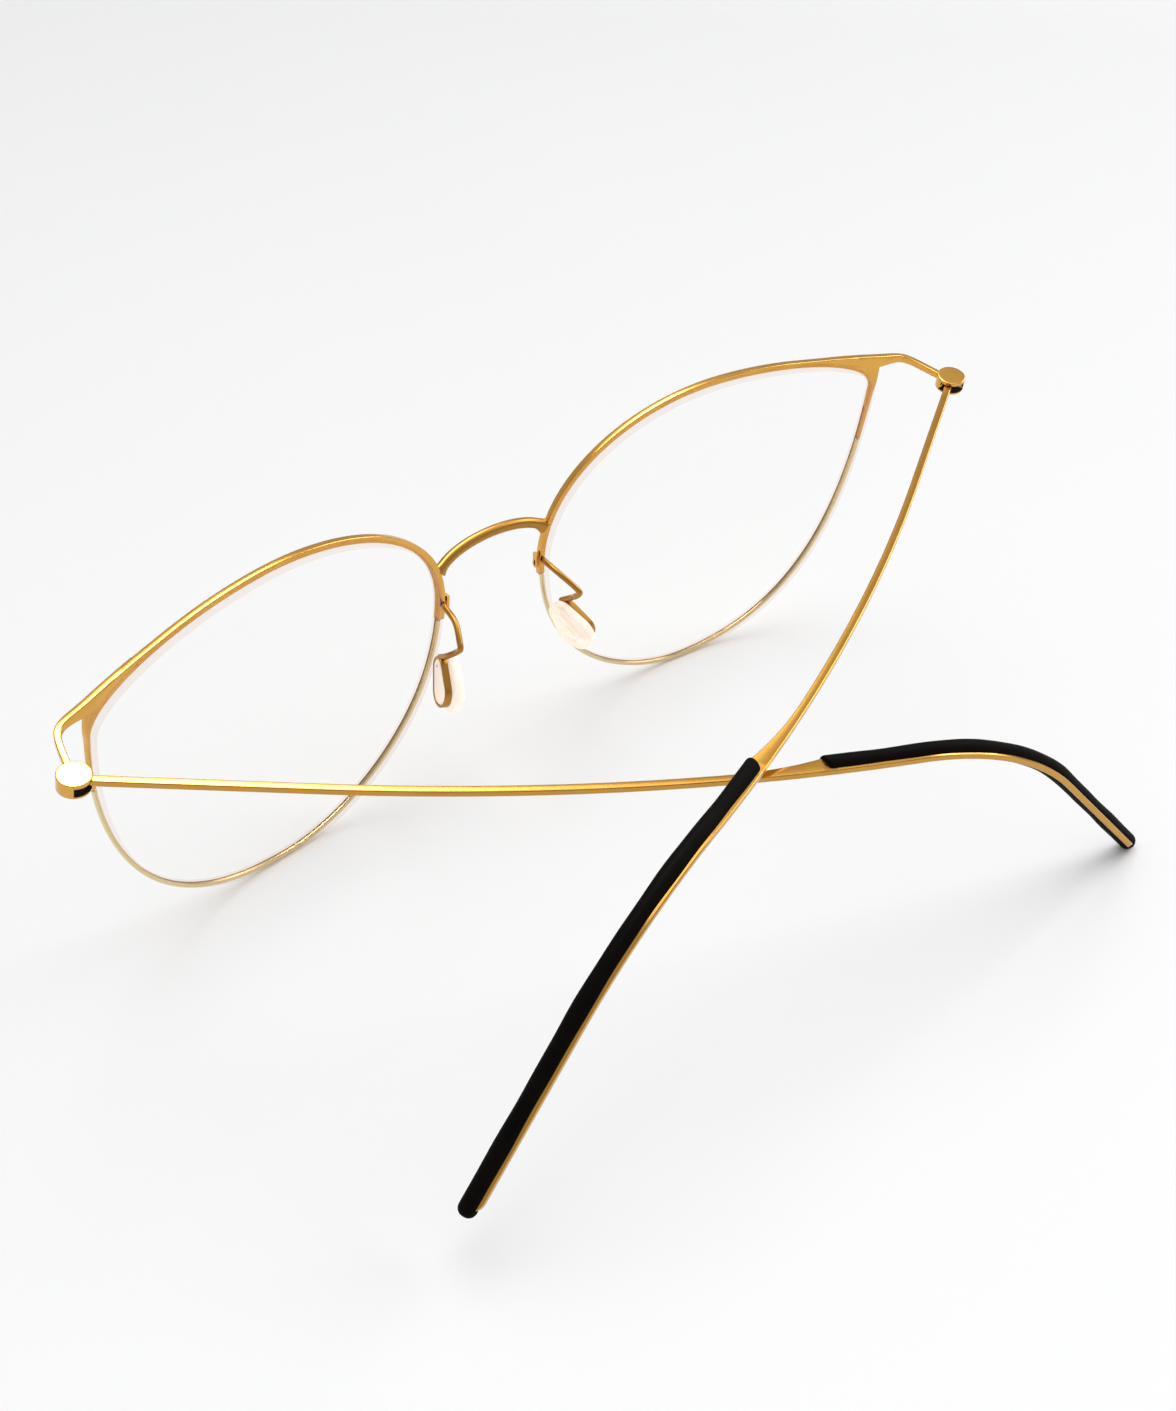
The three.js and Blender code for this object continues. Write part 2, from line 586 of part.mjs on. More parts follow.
function endRuns(end) {
  return spaced(0, 1, 5).slice(1).map((t) => end + STRIP_END_ROUND * (Math.sin(t * Math.PI / 2) - 1));
}

function temple(rise) {
  const root = INNER_RADIUS / 2;
  const flareStart = SLEEVE_START - TEMPLE_FLARE_RUN;
  const runs = [
    ...spaced(root, BARREL_RADIUS, 1), ...spaced(BARREL_RADIUS, BARREL_RADIUS + RISE_RUN, 4).slice(1),
    BOW_START, ...spaced(BOW_START, flareStart, 7).slice(1),
    ...spaced(flareStart, SLEEVE_START, 8).slice(1, -1),
    ...sleeveRuns(STRIP_END - STRIP_END_ROUND), ...endRuns(STRIP_END),
  ];
  const eye = turned([[0, EYE_BOTTOM], [INNER_RADIUS, EYE_BOTTOM], [INNER_RADIUS, EYE_TOP], [0, EYE_TOP]]);
  const bore = turned([[0, EYE_BOTTOM - HINGE_GAP], [BORE_RADIUS, EYE_BOTTOM - HINGE_GAP],
    [BORE_RADIUS, EYE_TOP + HINGE_GAP], [0, EYE_TOP + HINGE_GAP]]);
  return shape(solid(eye).add(solid(strip(rise, runs, 0, STRIP_END))).subtract(solid(bore)));
}

// A round sleeve with a slanted, rounded mouth and a closed tip, slit by the strip.
function sleeve(rise) {
  const ring = (run, radius) => {
    const frame = templeFrame(run, rise);
    const slant = SLEEVE_SLANT * (1 - smooth((run - SLEEVE_START) / SLEEVE_SLANT_RUN));
    const corner = (angle) => {
      const out = radius * Math.cos(angle);
      return place(frame, out - SLEEVE_INSET, radius * Math.sin(angle), slant * out);
    };
    return spaced(0, 2 * Math.PI, WIRE_SIDES + 4).slice(0, -1).map(corner);
  };
  const mouth = SLEEVE_START + SLEEVE_EDGE_ROUND;
  const dome = TEMPLE_LENGTH - SLEEVE_RADIUS;
  const tube = [
    ring(SLEEVE_START, SLEEVE_RADIUS - SLEEVE_EDGE_ROUND / 2),
    ring(mouth, SLEEVE_RADIUS),
    ...sleeveRuns(dome).slice(1).map((run) => ring(run, SLEEVE_RADIUS)),
    ...spaced(0, SLEEVE_DOME, 4).slice(1).map((angle) =>
      ring(dome + SLEEVE_RADIUS * Math.sin(angle), SLEEVE_RADIUS * Math.cos(angle))),
  ];
  const pocketEnd = STRIP_END + SEAM_GAP;
  const pocketStart = SLEEVE_START - SLEEVE_SLANT_RUN;
  const pocketRuns = [pocketStart - SLEEVE_SLANT_RUN, ...spaced(pocketStart, SLEEVE_START, 3),
    ...sleeveRuns(pocketEnd - STRIP_END_ROUND).slice(1), ...endRuns(pocketEnd)];
  return shape(solid(loft(tube)).subtract(solid(strip(rise, pocketRuns, SEAM_GAP, pocketEnd))));
}

// Assembly

function piece(name, geometry, finish) {
  const mesh = new THREE.Mesh(geometry, new THREE.MeshStandardMaterial(finish));
  mesh.name = name;
  return mesh;
}

const front = new THREE.Group();
front.add(piece("bridge", bridge(), GOLD));

const SIDES = [
  { name: "left", side: 1, fold: LEFT_FOLD, rise: LEFT_RISE },
  { name: "right", side: -1, fold: RIGHT_FOLD, rise: RIGHT_RISE },
];
for (const { name, side, fold, rise } of SIDES) {
  const add = (group, label, geometry, finish) => {
    group.add(piece(`${name}_${label}`, side > 0 ? geometry : mirrored(geometry), finish));
  };
  const eye = new THREE.Group();
  eye.position.set(side * EYE_CENTRE.x, 0, 0);
  eye.rotation.z = side * FACE_WRAP;
  add(eye, "upper_rim", upperRim(), GOLD);
  add(eye, "lower_rim", lowerRim(), GOLD);
  add(eye, "lens", lens(), LENS);
  add(eye, "rim_lock", rimLock(), GOLD);
  add(front, "nose_arm", noseArm(), GOLD);
  add(front, "nose_pad", nosePad(), SILICONE);
  const hinge = new THREE.Group();
  hinge.position.set(side * HINGE.x, HINGE.y, HINGE.z);
  hinge.rotation.copy(hingeTurn(side));
  add(hinge, "hinge_barrel", barrel(), GOLD);
  add(hinge, "hinge_pin", hingePin(), STEEL);
  add(hinge, "hinge_washer", hingeWasher(), NYLON);
  add(hinge, "hinge_cap", hingeCap(), GOLD);
  const arm = new THREE.Group();
  arm.rotation.z = side * fold;
  add(arm, "temple", temple(rise), GOLD);
  add(arm, "tip_sleeve", sleeve(rise), BLACK_SILICONE);
  hinge.add(arm);
  front.add(eye, hinge);
}

// Stance: the front leans until the lower rims and the left tip reach the table together

function pointsOf(name) {
  const mesh = front.getObjectByName(name);
  const position = mesh.geometry.getAttribute("position");
  return Array.from({ length: position.count }, (_, i) =>
    new THREE.Vector3().fromBufferAttribute(position, i).applyMatrix4(mesh.matrixWorld));
}

function restLean() {
  front.updateMatrixWorld(true);
  const rims = pointsOf("left_lower_rim");
  const tip = pointsOf("left_tip_sleeve");
  const height = (point, lean) => point.y * Math.sin(lean) + point.z * Math.cos(lean);
  const lowest = (points, lean) => Math.min(...points.map((point) => height(point, lean)));
  let low = -Math.PI / 4;
  let high = Math.PI / 4;
  for (let i = 0; i < 40; i += 1) {
    const lean = (low + high) / 2;
    const tipHigher = lowest(tip, lean) > lowest(rims, lean);
    low = tipHigher ? low : lean;
    high = tipHigher ? lean : high;
  }
  return (low + high) / 2;
}

front.rotation.x = restLean();
const glasses = new THREE.Group();
glasses.add(front);
const box = new THREE.Box3().setFromObject(glasses, true);
const middle = box.getCenter(new THREE.Vector3());
front.position.set(-middle.x, -middle.y, -box.min.z);

export default glasses;
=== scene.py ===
import json
import math

import bpy
import numpy as np
from bpy.props import FloatProperty, FloatVectorProperty, PointerProperty
from mathutils import Matrix, Vector


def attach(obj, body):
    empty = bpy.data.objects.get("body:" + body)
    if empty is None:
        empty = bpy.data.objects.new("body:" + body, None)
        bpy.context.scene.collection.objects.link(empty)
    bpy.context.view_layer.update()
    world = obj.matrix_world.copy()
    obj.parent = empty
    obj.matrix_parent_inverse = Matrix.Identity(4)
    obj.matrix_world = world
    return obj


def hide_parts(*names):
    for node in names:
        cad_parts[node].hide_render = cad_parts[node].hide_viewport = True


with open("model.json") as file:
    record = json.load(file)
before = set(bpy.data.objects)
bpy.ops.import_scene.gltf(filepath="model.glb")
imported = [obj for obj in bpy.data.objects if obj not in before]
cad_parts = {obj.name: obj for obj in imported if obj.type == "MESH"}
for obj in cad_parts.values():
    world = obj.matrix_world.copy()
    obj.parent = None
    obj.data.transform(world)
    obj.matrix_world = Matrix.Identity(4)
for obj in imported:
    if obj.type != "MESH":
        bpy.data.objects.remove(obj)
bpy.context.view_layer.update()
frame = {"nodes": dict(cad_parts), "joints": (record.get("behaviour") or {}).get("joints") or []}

bl_info = {
    "name": "Cat-eye eyeglasses",
    "version": (1, 0, 0),
    "blender": (4, 5, 0),
    "location": "View3D > Sidebar > Eyeglasses",
    "description": "Gold cat-eye eyeglasses, half folded on a pale table",
    "category": "Add Mesh",
}

MM = 0.001
UP = np.array([0.0, 0.0, 1.0])
SIDES = (("left", 1.0), ("right", -1.0))
HINGES = {joint["name"]: joint for joint in frame["joints"]}


def length(name, description, millimetres):
    """A length property whose default is given in millimetres."""
    return FloatProperty(name=name, description=description, default=millimetres * MM,
                         unit="LENGTH", precision=5)


def turn(name, description, degrees):
    """An angle property whose default is given in degrees."""
    return FloatProperty(name=name, description=description, default=math.radians(degrees),
                         subtype="ANGLE")


def tint(name, description, colour):
    """A colour property in linear values."""
    return FloatVectorProperty(name=name, description=description, default=colour,
                               subtype="COLOR", min=0, max=1)


class EYEGLASSES_PG_front(bpy.types.PropertyGroup):
    """Sizes of the eye shape, rims, lenses, bridge and end pieces."""

    eye_width: length("Eye width", "Width of the eye shape's box", 52.5)
    eye_height: length("Eye height", "Height of the eye shape's box", 44.3)
    nose_distance: length("Nose distance", "Gap between the two eye boxes", 17.5)
    low_x: length("Lowest point", "Offset of the lowest point from the eye centre", -1.6)
    outer_z: length("Outer point", "Height of the point nearest the temple", 14.4)
    top_x: length("Top point", "Offset of the highest point from the eye centre", -0.3)
    nose_z: length("Nose point", "Height of the point nearest the nose", 4.4)
    face_wrap: turn("Face wrap", "Turn of each eye about its own centre", 6.4)
    base_radius: length("Base radius", "Radius of the lens base curve", 132)
    brow_width: length("Brow width", "Width of the brow, away from the eye", 0.95)
    brow_depth: length("Brow depth", "Depth of the brow, front to back", 0.95)
    lower_width: length("Lower rim width", "Width of the lower rim", 0.55)
    lower_depth: length("Lower rim depth", "Depth of the lower rim", 0.6)
    web_width: length("Web width", "Width of the rim at its outer corner", 2.85)
    web_past: length("Web place", "Run from the outer point to the middle of the web", 3.0)
    web_run: length("Web run", "Run over which the web narrows into the brow", 12)
    web_rim_run: length("Web rim run", "Run over which the web narrows into the lower rim", 4.5)
    nose_joint: length("Nose joint", "Run from the nose point down to the rim joint", 2.4)
    outer_joint: length("Outer joint", "Run from the outer point down to the rim joint", 8.5)
    groove_depth: length("Groove depth", "Depth of the lens groove", 0.22)
    groove_half: length("Groove half width", "Half the width of the lens groove", 0.22)
    lens_thickness: length("Lens thickness", "Thickness of the lenses", 1.9)
    lens_proud: length("Lens front", "How far the lens front stands before the rim's middle", 0.5)
    seam: length("Seam", "Gap between fitted pieces", 0.12)
    bridge_radius: length("Bridge radius", "Radius of the bridge bar", 0.7)
    bridge_root: length("Bridge root", "Half height of the bridge where it meets the brow", 1.0)
    bridge_run: length("Bridge root run", "Run over which the bridge flares to its root", 2)
    bridge_above: length("Bridge place", "Run from the nose point up to the bridge", 4.7)
    bridge_arch: length("Bridge arch", "Rise of the bridge's middle over its roots", 2.1)
    bridge_forward: length("Bridge forward", "How far the bridge's middle stands forward", 1)
    bridge_handle: length("Bridge handle", "Noseward reach of the bridge's root tangent", 2.6)
    end_before: length("End piece place", "Run from the web back to the end piece's start", 6.6)
    end_width: length("End piece width", "Thickness of the end piece", 0.8)
    end_height: length("End piece height", "Height of the end piece", 0.95)
    end_lead: length("End piece lead", "Reach of the end piece's start tangent", 12.1)
    end_tail: length("End piece tail", "Reach of the end piece's end tangent", 7.65)
    end_gusset: length("End piece gusset", "Extra height where the end piece leaves the web", 0.85)
    end_gusset_run: length("Gusset run", "Run over which that extra height fades", 3.2)
    end_leave: length("End piece leave", "Run over which the end piece leaves the brow's surface", 7.5)
    end_turn: turn("End piece turn", "Inward turn of the end piece where it meets the hinge", 12.7)
    end_drop: length("End piece drop", "Depth of the end piece's top under the barrel's top", 0.5)


class EYEGLASSES_PG_temples(bpy.types.PropertyGroup):
    """Sizes of the hinges, temples and tip sleeves."""

    hinge_out: length("Hinge out", "Distance of the hinge from the middle", 67.1)
    hinge_back: length("Hinge back", "Distance of the hinge behind the bridge", 15.2)
    hinge_height: length("Hinge height", "Height of the hinge's top over the eye centre", 18.6)
    hinge_tilt: turn("Hinge tilt", "Backward tilt of the hinge axis", 6.5)
    hinge_lean: turn("Hinge lean", "Outward lean of the hinge axis", -2.4)
    barrel_radius: length("Barrel radius", "Outer radius of the hinge barrel", 1.9)
    barrel_height: length("Barrel height", "Height of the hinge barrel", 1.9)
    slot_top: length("Slot top", "Depth of the slot's upper edge under the barrel's top", 0.48)
    slot_floor: length("Slot floor", "Height of the ring under the slot", 0.3)
    slot_start: turn("Slot start", "Angle of the slot's outer end from straight back", -30)
    slot_end: turn("Slot end", "Angle of the slot's inner end from straight back", 100)
    strip_length: length("Temple length", "Length of the temple along its curve", 143.5)
    strip_thickness: length("Temple thickness", "Thickness of the temple strip", 0.8)
    strip_width: length("Temple width", "Width of the temple strip at the hinge", 1.0)
    strip_drop: length("Strip depth", "Depth of the strip's middle under the barrel's top", 0.94)
    flare: length("Flare", "Extra width of the strip at the sleeve", 1.15)
    flare_run: length("Flare run", "Run over which the strip flares", 12)
    shank_step: length("Shank step", "How far the strip is drawn in under the sleeve", 0.4)
    shank_run: length("Shank run", "Run over which the strip is drawn in", 4)
    bow_start: length("Bow start", "Run at which the inward bow starts", 25)
    bow_end: length("Bow end", "Run at which the inward bow ends", 119)
    bow_radius: length("Bow radius", "Radius of the inward bow", 287)
    drop_start: length("Drop start", "Run at which the ear bend starts", 94.5)
    drop_radius: length("Drop radius", "Radius of the ear bend", 32)
    drop_angle: turn("Drop angle", "Angle of the ear bend", 46)
    left_rise: turn("Left rise", "Upward set of the left temple", 0.4)
    right_rise: turn("Right rise", "Upward set of the right temple", 2.6)
    left_fold: turn("Left fold", "Fold of the left temple at rest", 55.4)
    right_fold: turn("Right fold", "Fold of the right temple at rest", 57.5)
    rise_run: length("Rise run", "Run over which the temple takes its rise", 4)
    sleeve_start: length("Sleeve start", "Run at which the sleeve starts", 82.5)
    sleeve_radius: length("Sleeve radius", "Outer radius of the sleeve", 1.1)
    sleeve_wave: length("Sleeve wave", "Unevenness of the sleeve's radius along its run", 0.035)
    sleeve_inset: length("Sleeve inset", "How far the sleeve's middle lies inside the strip's", 0.9)
    sleeve_slant: FloatProperty(name="Sleeve slant", description="Slant of the sleeve's mouth",
                                default=0.35)
    sleeve_gap: length("Sleeve gap", "Gap between the sleeve and the strip", 0.04)
    tip_cover: length("Tip cover", "Sleeve beyond the end of the strip", 1)
    end_round: length("End rounding", "Length of the strip's rounded end", 1.4)


class EYEGLASSES_PG_pads(bpy.types.PropertyGroup):
    """Sizes of the nose arms and pads."""

    arm_radius: length("Arm radius", "Radius of the nose arm wire", 0.4)
    ring_length: length("Ring length", "Length of the pad ring", 6.6)
    ring_low: length("Ring low radius", "Radius of the ring's lower end", 2.1)
    ring_top: length("Ring top radius", "Radius of the ring's upper end", 1.45)
    ring_wall: length("Ring wall", "Wall of the ring", 0.35)
    ring_depth: length("Ring depth", "Depth of the ring", 0.95)
    pad_splay: turn("Pad splay", "Turn of the pad's face from straight sideways", 30)
    pad_rake: turn("Pad rake", "Lean of the pad's long axis", 41)
    pad_turn: turn("Pad turn", "Turn of the pad about its long axis", 17)
    pad_low: length("Pad low flange", "How far the pad overhangs the ring below", 0.75)
    pad_top: length("Pad top flange", "How far the pad overhangs the ring above", 0.35)
    pad_thickness: length("Pad thickness", "Thickness of the pad in front of the ring", 1.7)
    pad_ridge: length("Pad ridge", "Height of the ridges on the pad's face", 0.22)


class EYEGLASSES_PG_colours(bpy.types.PropertyGroup):
    """Colours of the finishes and the stage, in linear values."""

    gold: tint("Gold", "Plated metal of the frame", (0.76, 0.41, 0.08))
    gold_deep: tint("Deep gold", "Darker patches of the plating", (0.60, 0.31, 0.05))
    # Pale gold is a lighter copy of the gold: painted highlight on the fine lower rims
    gold_painted_highlight: tint("Pale gold", "Washed-out gold of the fine lower rims", (0.74, 0.63, 0.36))
    # Dull gold is a darker copy of the gold: painted shade on the bridge, nose arms and temples
    gold_painted_shade: tint("Dull gold", "Gold of the temples, bridge and nose arms", (0.43, 0.21, 0.034))
    # The two slot colours are painted shade: the plating painted near black inside the slot
    slot: tint("Slot", "Browned plating in the hinge slots", (0.035, 0.012, 0.005))
    slot_shade_dark: tint("Dark slot", "Darkest spots in the hinge slots", (0.010, 0.004, 0.002))
    steel: tint("Steel", "Hinge pins", (0.60, 0.59, 0.57))
    steel_dark: tint("Dark steel", "Turning marks of the hinge pins", (0.40, 0.39, 0.38))
    lens_clear: tint("Lens", "Light that passes a lens face", (0.997, 0.996, 0.994))
    lens_mirror: tint("Lens mirror", "Light mirrored by a lens face", (0.95, 0.95, 0.95))
    lens_edge: tint("Lens edge", "Ground edge of the lenses", (0.955, 0.86, 0.80))
    lens_frost: tint("Lens frost", "Paler spots of the ground edge", (0.975, 0.93, 0.905))
    # The pad colour also gives the pads a painted glow, as an emission
    silicone: tint("Pad silicone", "Nose pads", (0.98, 0.86, 0.74))
    silicone_pale: tint("Pale silicone", "Paler clouds in the nose pads", (0.99, 0.95, 0.91))
    sleeve: tint("Sleeve silicone", "Tip sleeves", (0.002, 0.0016, 0.0014))
    # The brownish clouds are painted sheen on the black sleeves
    sleeve_painted_sheen: tint("Rubbed sleeve", "Brownish clouds on the tip sleeves", (0.006, 0.004, 0.003))
    sleeve_dust: tint("Sleeve dust", "Dust specks on the tip sleeves", (0.03, 0.02, 0.014))
    nylon: tint("Nylon", "Hinge washers", (0.030, 0.012, 0.006))
    nylon_dark: tint("Dark nylon", "Mottling of the hinge washers", (0.018, 0.007, 0.004))
    floor: tint("Table", "Pale table top near the camera", (0.97, 0.97, 0.97))
    # The far table colour is painted shade: the table is darkened away from the camera
    floor_painted_shade: tint("Far table", "Pale table top far from the camera", (0.78, 0.78, 0.78))


def front_sizes():
    return bpy.context.scene.eyeglasses_front


def temple_sizes():
    return bpy.context.scene.eyeglasses_temples


def pad_sizes():
    return bpy.context.scene.eyeglasses_pads


def colours():
    return bpy.context.scene.eyeglasses_colours


# Numbers and frames


def smooth(t):
    """Eased share: 3t^2 - 2t^3 of t held between 0 and 1."""
    t = np.clip(t, 0, 1)
    return t * t * (3 - 2 * t)


def mix(a, b, t):
    """The value a share t of the way from a to b."""
    return a + (b - a) * t


def unit(vectors):
    """Vectors divided by their own lengths."""
    return vectors / np.linalg.norm(vectors, axis=-1, keepdims=True)


def shifted(point, *millimetres):
    """A point moved by a number of millimetres along each of its axes."""
    return point + np.array(millimetres) * MM


def runs_along(path):
    """Run at each point of a path: the running sum of the distances between neighbours."""
    step = np.linalg.norm(np.diff(path, axis=0), axis=1)
    return np.concatenate([[0], np.cumsum(step)])


def circle(count):
    """Angles in equal steps round a full turn."""
    return np.linspace(0, 2 * math.pi, count, endpoint=False)


def bezier(points, t):
    """A cubic Bezier curve: its four points weighted by the Bernstein polynomials of t."""
    t = np.asarray(t)[..., None]
    a, b, c, d = (np.asarray(p, float) for p in points)
    return a * (1 - t) ** 3 + 3 * b * t * (1 - t) ** 2 + 3 * c * t**2 * (1 - t) + d * t**3


def spin(points, axis, angle):
    """Points turned about a row axis by the usual sine and cosine mix of the other two."""
    a, b = (axis + 1) % 3, (axis + 2) % 3
    turned = np.array(points, float)
    turned[..., a] = points[..., a] * math.cos(angle) - points[..., b] * math.sin(angle)
    turned[..., b] = points[..., a] * math.sin(angle) + points[..., b] * math.cos(angle)
    return turned


def eye_centre():
    """Middle of the left eye box on the upright front."""
    size = front_sizes()
    return np.array([(size.eye_width + size.nose_distance) / 2, 0, 0])


def hinge_centre():
    """Top of the left hinge barrel on the upright front."""
    size = temple_sizes()
    return np.array([size.hinge_out, size.hinge_back, size.hinge_height])


def front_lean():
    """Lean and shift of the front: what takes the upright hinge to its packed place and axis."""
    size = temple_sizes()
    upright = spin(spin(UP, 0, -size.hinge_tilt), 1, size.hinge_lean)
    hinge = HINGES["left_temple_hinge"]
    axis = hinge["axis"]
    lean = math.atan2(upright[1], upright[2]) - math.atan2(axis[1], axis[2])
    return lean, np.array(hinge["pos_m"]) - spin(hinge_centre(), 0, lean)


def to_row(points, side=1.0, vectors=False):
    """Points of the upright front, mirrored for the right side, leaned and set on the table."""
    lean, shift = front_lean()
    placed = spin(points * np.array([side, 1.0, 1.0]), 0, lean)
    return placed if vectors else placed + shift


def eye_to_front(points):
    """Points of an eye's own frame, turned by the face wrap and moved out to the eye centre."""
    return spin(points, 2, front_sizes().face_wrap) + eye_centre()


def front_to_eye(points):
    """The reverse of eye_to_front."""
    return spin(points - eye_centre(), 2, -front_sizes().face_wrap)


def hinge_to_front(points, fold=0.0, vectors=False):
    """Points of a hinge's frame, folded about its axis, tilted, leaned and moved to the hinge."""
    size = temple_sizes()
    turned = spin(spin(spin(points, 2, fold), 0, -size.hinge_tilt), 1, size.hinge_lean)
    return turned if vectors else turned + hinge_centre()


# Meshes


def skin(rows, loop=False):
    """Quads between neighbouring rows of closed sections; a loop joins its last row to its first,
    and otherwise a fan to each end row's middle closes the ends."""
    n, m, _ = rows.shape
    points = rows.reshape(-1, 3)
    i = np.arange(n if loop else n - 1)[:, None]
    k = np.arange(m)[None, :]
    near, far = i * m, ((i + 1) % n) * m
    after = (k + 1) % m
    quads = np.stack([near + k, near + after, far + after, far + k], -1).reshape(-1, 4)
    if loop:
        return points, quads, np.zeros((0, 3), int)
    points = np.concatenate([points, rows[0].mean(0)[None], rows[-1].mean(0)[None]])
    k, after = np.arange(m), (np.arange(m) + 1) % m
    start = np.stack([np.full(m, n * m), after, k], -1)
    end = np.stack([np.full(m, n * m + 1), (n - 1) * m + k, (n - 1) * m + after], -1)
    return points, quads, np.concatenate([start, end])


def facing_out(points, quads, tris):
    """The same faces, reversed where the enclosed volume comes out negative."""
    halves = np.concatenate([quads[:, [0, 1, 2]], quads[:, [0, 2, 3]], tris])
    a, b, c = (points[halves[:, j]] for j in range(3))
    if np.einsum("ij,ij->", a, np.cross(b, c)) < 0:
        return quads[:, ::-1], tris[:, ::-1]
    return quads, tris


def section(half_x, half_y, radius, steps=4):
    """A rounded rectangle: quarter circles round four corner centres. Sizes may be columns of
    values, one for each row of a sweep."""
    angle = np.linspace(0, math.pi / 2, steps + 1)
    angle = (angle[None, :] + np.arange(4)[:, None] * math.pi / 2).ravel()
    sign_x = np.repeat([1, -1, -1, 1], steps + 1)
    sign_y = np.repeat([1, 1, -1, -1], steps + 1)
    x = sign_x * (half_x - radius) + radius * np.cos(angle)
    y = sign_y * (half_y - radius) + radius * np.sin(angle)
    return np.broadcast_arrays(x, y)


def sweep(path, across, over, x, y):
    """A section carried along a path: each row is the path's point plus the section's two
    coordinates along that place's across and over directions."""
    return path[:, None] + across[:, None] * x[..., None] + over[:, None] * y[..., None]


def add_piece(name, skins, finish, body, nodes):
    """One mesh object of closed skins in the row frame, with runs along and round each grid as UVs."""
    points, faces, uvs, shift = [], [], [], 0
    for rows, loop in skins:
        n, m, _ = rows.shape
        p, quads, tris = skin(rows, loop)
        along, around = runs_along(rows.mean(1)), runs_along(rows[n // 2])
        uv = np.stack(np.broadcast_arrays(along[:, None], around[None, :]), -1).reshape(-1, 2)
        quads, tris = facing_out(p, quads, tris)
        points.append(p)
        uvs += [uv, np.zeros((len(p) - n * m, 2))]
        faces += (quads + shift).tolist() + (tris + shift).tolist()
        shift += len(p)
    points, uvs = np.concatenate(points), np.concatenate(uvs)
    mesh = bpy.data.meshes.new(name)
    mesh.from_pydata(points, [], faces)
    corner = np.empty(len(mesh.loops), np.int32)
    mesh.loops.foreach_get("vertex_index", corner)
    layer = mesh.uv_layers.new(name="run")
    layer.data.foreach_set("uv", uvs[corner].astype(np.float32).ravel())
    mesh.polygons.foreach_set("use_smooth", np.ones(len(mesh.polygons), bool))
    mesh.materials.append(finish)
    mesh.update()
    if mesh.validate():
        raise RuntimeError(f"{name} has broken faces")
    piece = bpy.data.objects.new(name, mesh)
    bpy.context.scene.collection.objects.link(piece)
    weighted = piece.modifiers.new("even shading", "WEIGHTED_NORMAL")
    weighted.keep_sharp = True
    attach(piece, body)
    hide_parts(*nodes)
    return piece


def mark_band(piece, band, second):
    """Gives a second finish to the grid faces that a table of ones marks. End faces keep the first."""
    piece.data.materials.append(second)
    ends = np.zeros(len(piece.data.polygons) - band.size, np.int32)
    piece.data.polygons.foreach_set("material_index", np.concatenate([band.ravel(), ends]))


# Finishes


class Value:
    """A socket of a material; arithmetic on it adds Math nodes."""

    def __init__(self, finish, socket):
        self.finish = finish
        self.socket = socket

    def _math(self, operation, other):
        return self.finish.node("ShaderNodeMath", {"operation": operation}, {0: self, 1: other})

    def __add__(self, other):
        return self._math("ADD", other)

    def __mul__(self, other):
        return self._math("MULTIPLY", other)

    __radd__ = __add__


class Finish:
    """A new material and the one method that adds nodes to it."""

    def __init__(self, name):
        self.material = bpy.data.materials.new(name)
        self.material.use_nodes = True
        self.tree = self.material.node_tree
        self.tree.nodes.clear()

    def node(self, kind, settings=None, inputs=None, output=0):
        """Adds a node: its settings first, then values or links for its sockets. Returns one output."""
        made = self.tree.nodes.new(kind)
        for key, value in (settings or {}).items():
            setattr(made, key, value)
        for key, value in (inputs or {}).items():
            if isinstance(value, Value):
                self.tree.links.new(value.socket, made.inputs[key])
            else:
                made.inputs[key].default_value = value
        return Value(self, made.outputs[output]) if len(made.outputs) else None

    def surface(self, shader):
        """Joins the finished shader to the material's output."""
        self.node("ShaderNodeOutputMaterial", None, {"Surface": shader})
        return self.material

    def noise(self, vector, scale, detail=3.0, roughness=0.5):
        """Noise of a scale per metre, or per unit of a stretched run."""
        return self.node("ShaderNodeTexNoise", None,
                         {"Vector": vector, "Scale": scale, "Detail": detail, "Roughness": roughness})

    def place(self):
        """The object's own coordinates."""
        return self.node("ShaderNodeTexCoord", None, None, "Object")

    def run(self, along, around):
        """The piece's own run and girth, stretched by a scale along and a scale around."""
        uv = self.node("ShaderNodeUVMap", {"uv_map": "run"})
        return self.node("ShaderNodeVectorMath", {"operation": "MULTIPLY"},
                         {0: uv, 1: (along, around, 1.0)})

    def share(self, value, low, high):
        """How far a value has come from low to high, held between 0 and 1."""
        return self.node("ShaderNodeMapRange", None,
                         {"Value": value, "From Min": low, "From Max": high})

    def slant(self, blend):
        """Share of light that a face mirrors, growing as it is seen at a slant."""
        return self.node("ShaderNodeLayerWeight", None, {"Blend": blend}, "Fresnel")

    def blend(self, share, *pair):
        """A colour between two, by a share."""
        first, second = (colour if isinstance(colour, Value) else rgba(colour) for colour in pair)
        return self.node("ShaderNodeMixRGB", None, {"Fac": share, "Color1": first, "Color2": second})

    def bump(self, height, strength, distance):
        """A surface normal from a height."""
        return self.node("ShaderNodeBump", None,
                         {"Height": height, "Strength": strength, "Distance": distance})

    def principled(self, inputs):
        """The main shader of a surface."""
        return self.node("ShaderNodeBsdfPrincipled", None, inputs)

    def mixed(self, share, first, second):
        """Two shaders mixed by a share."""
        return self.node("ShaderNodeMixShader", None, {"Fac": share, 1: first, 2: second})


def rgba(colour):
    return (*colour, 1.0)


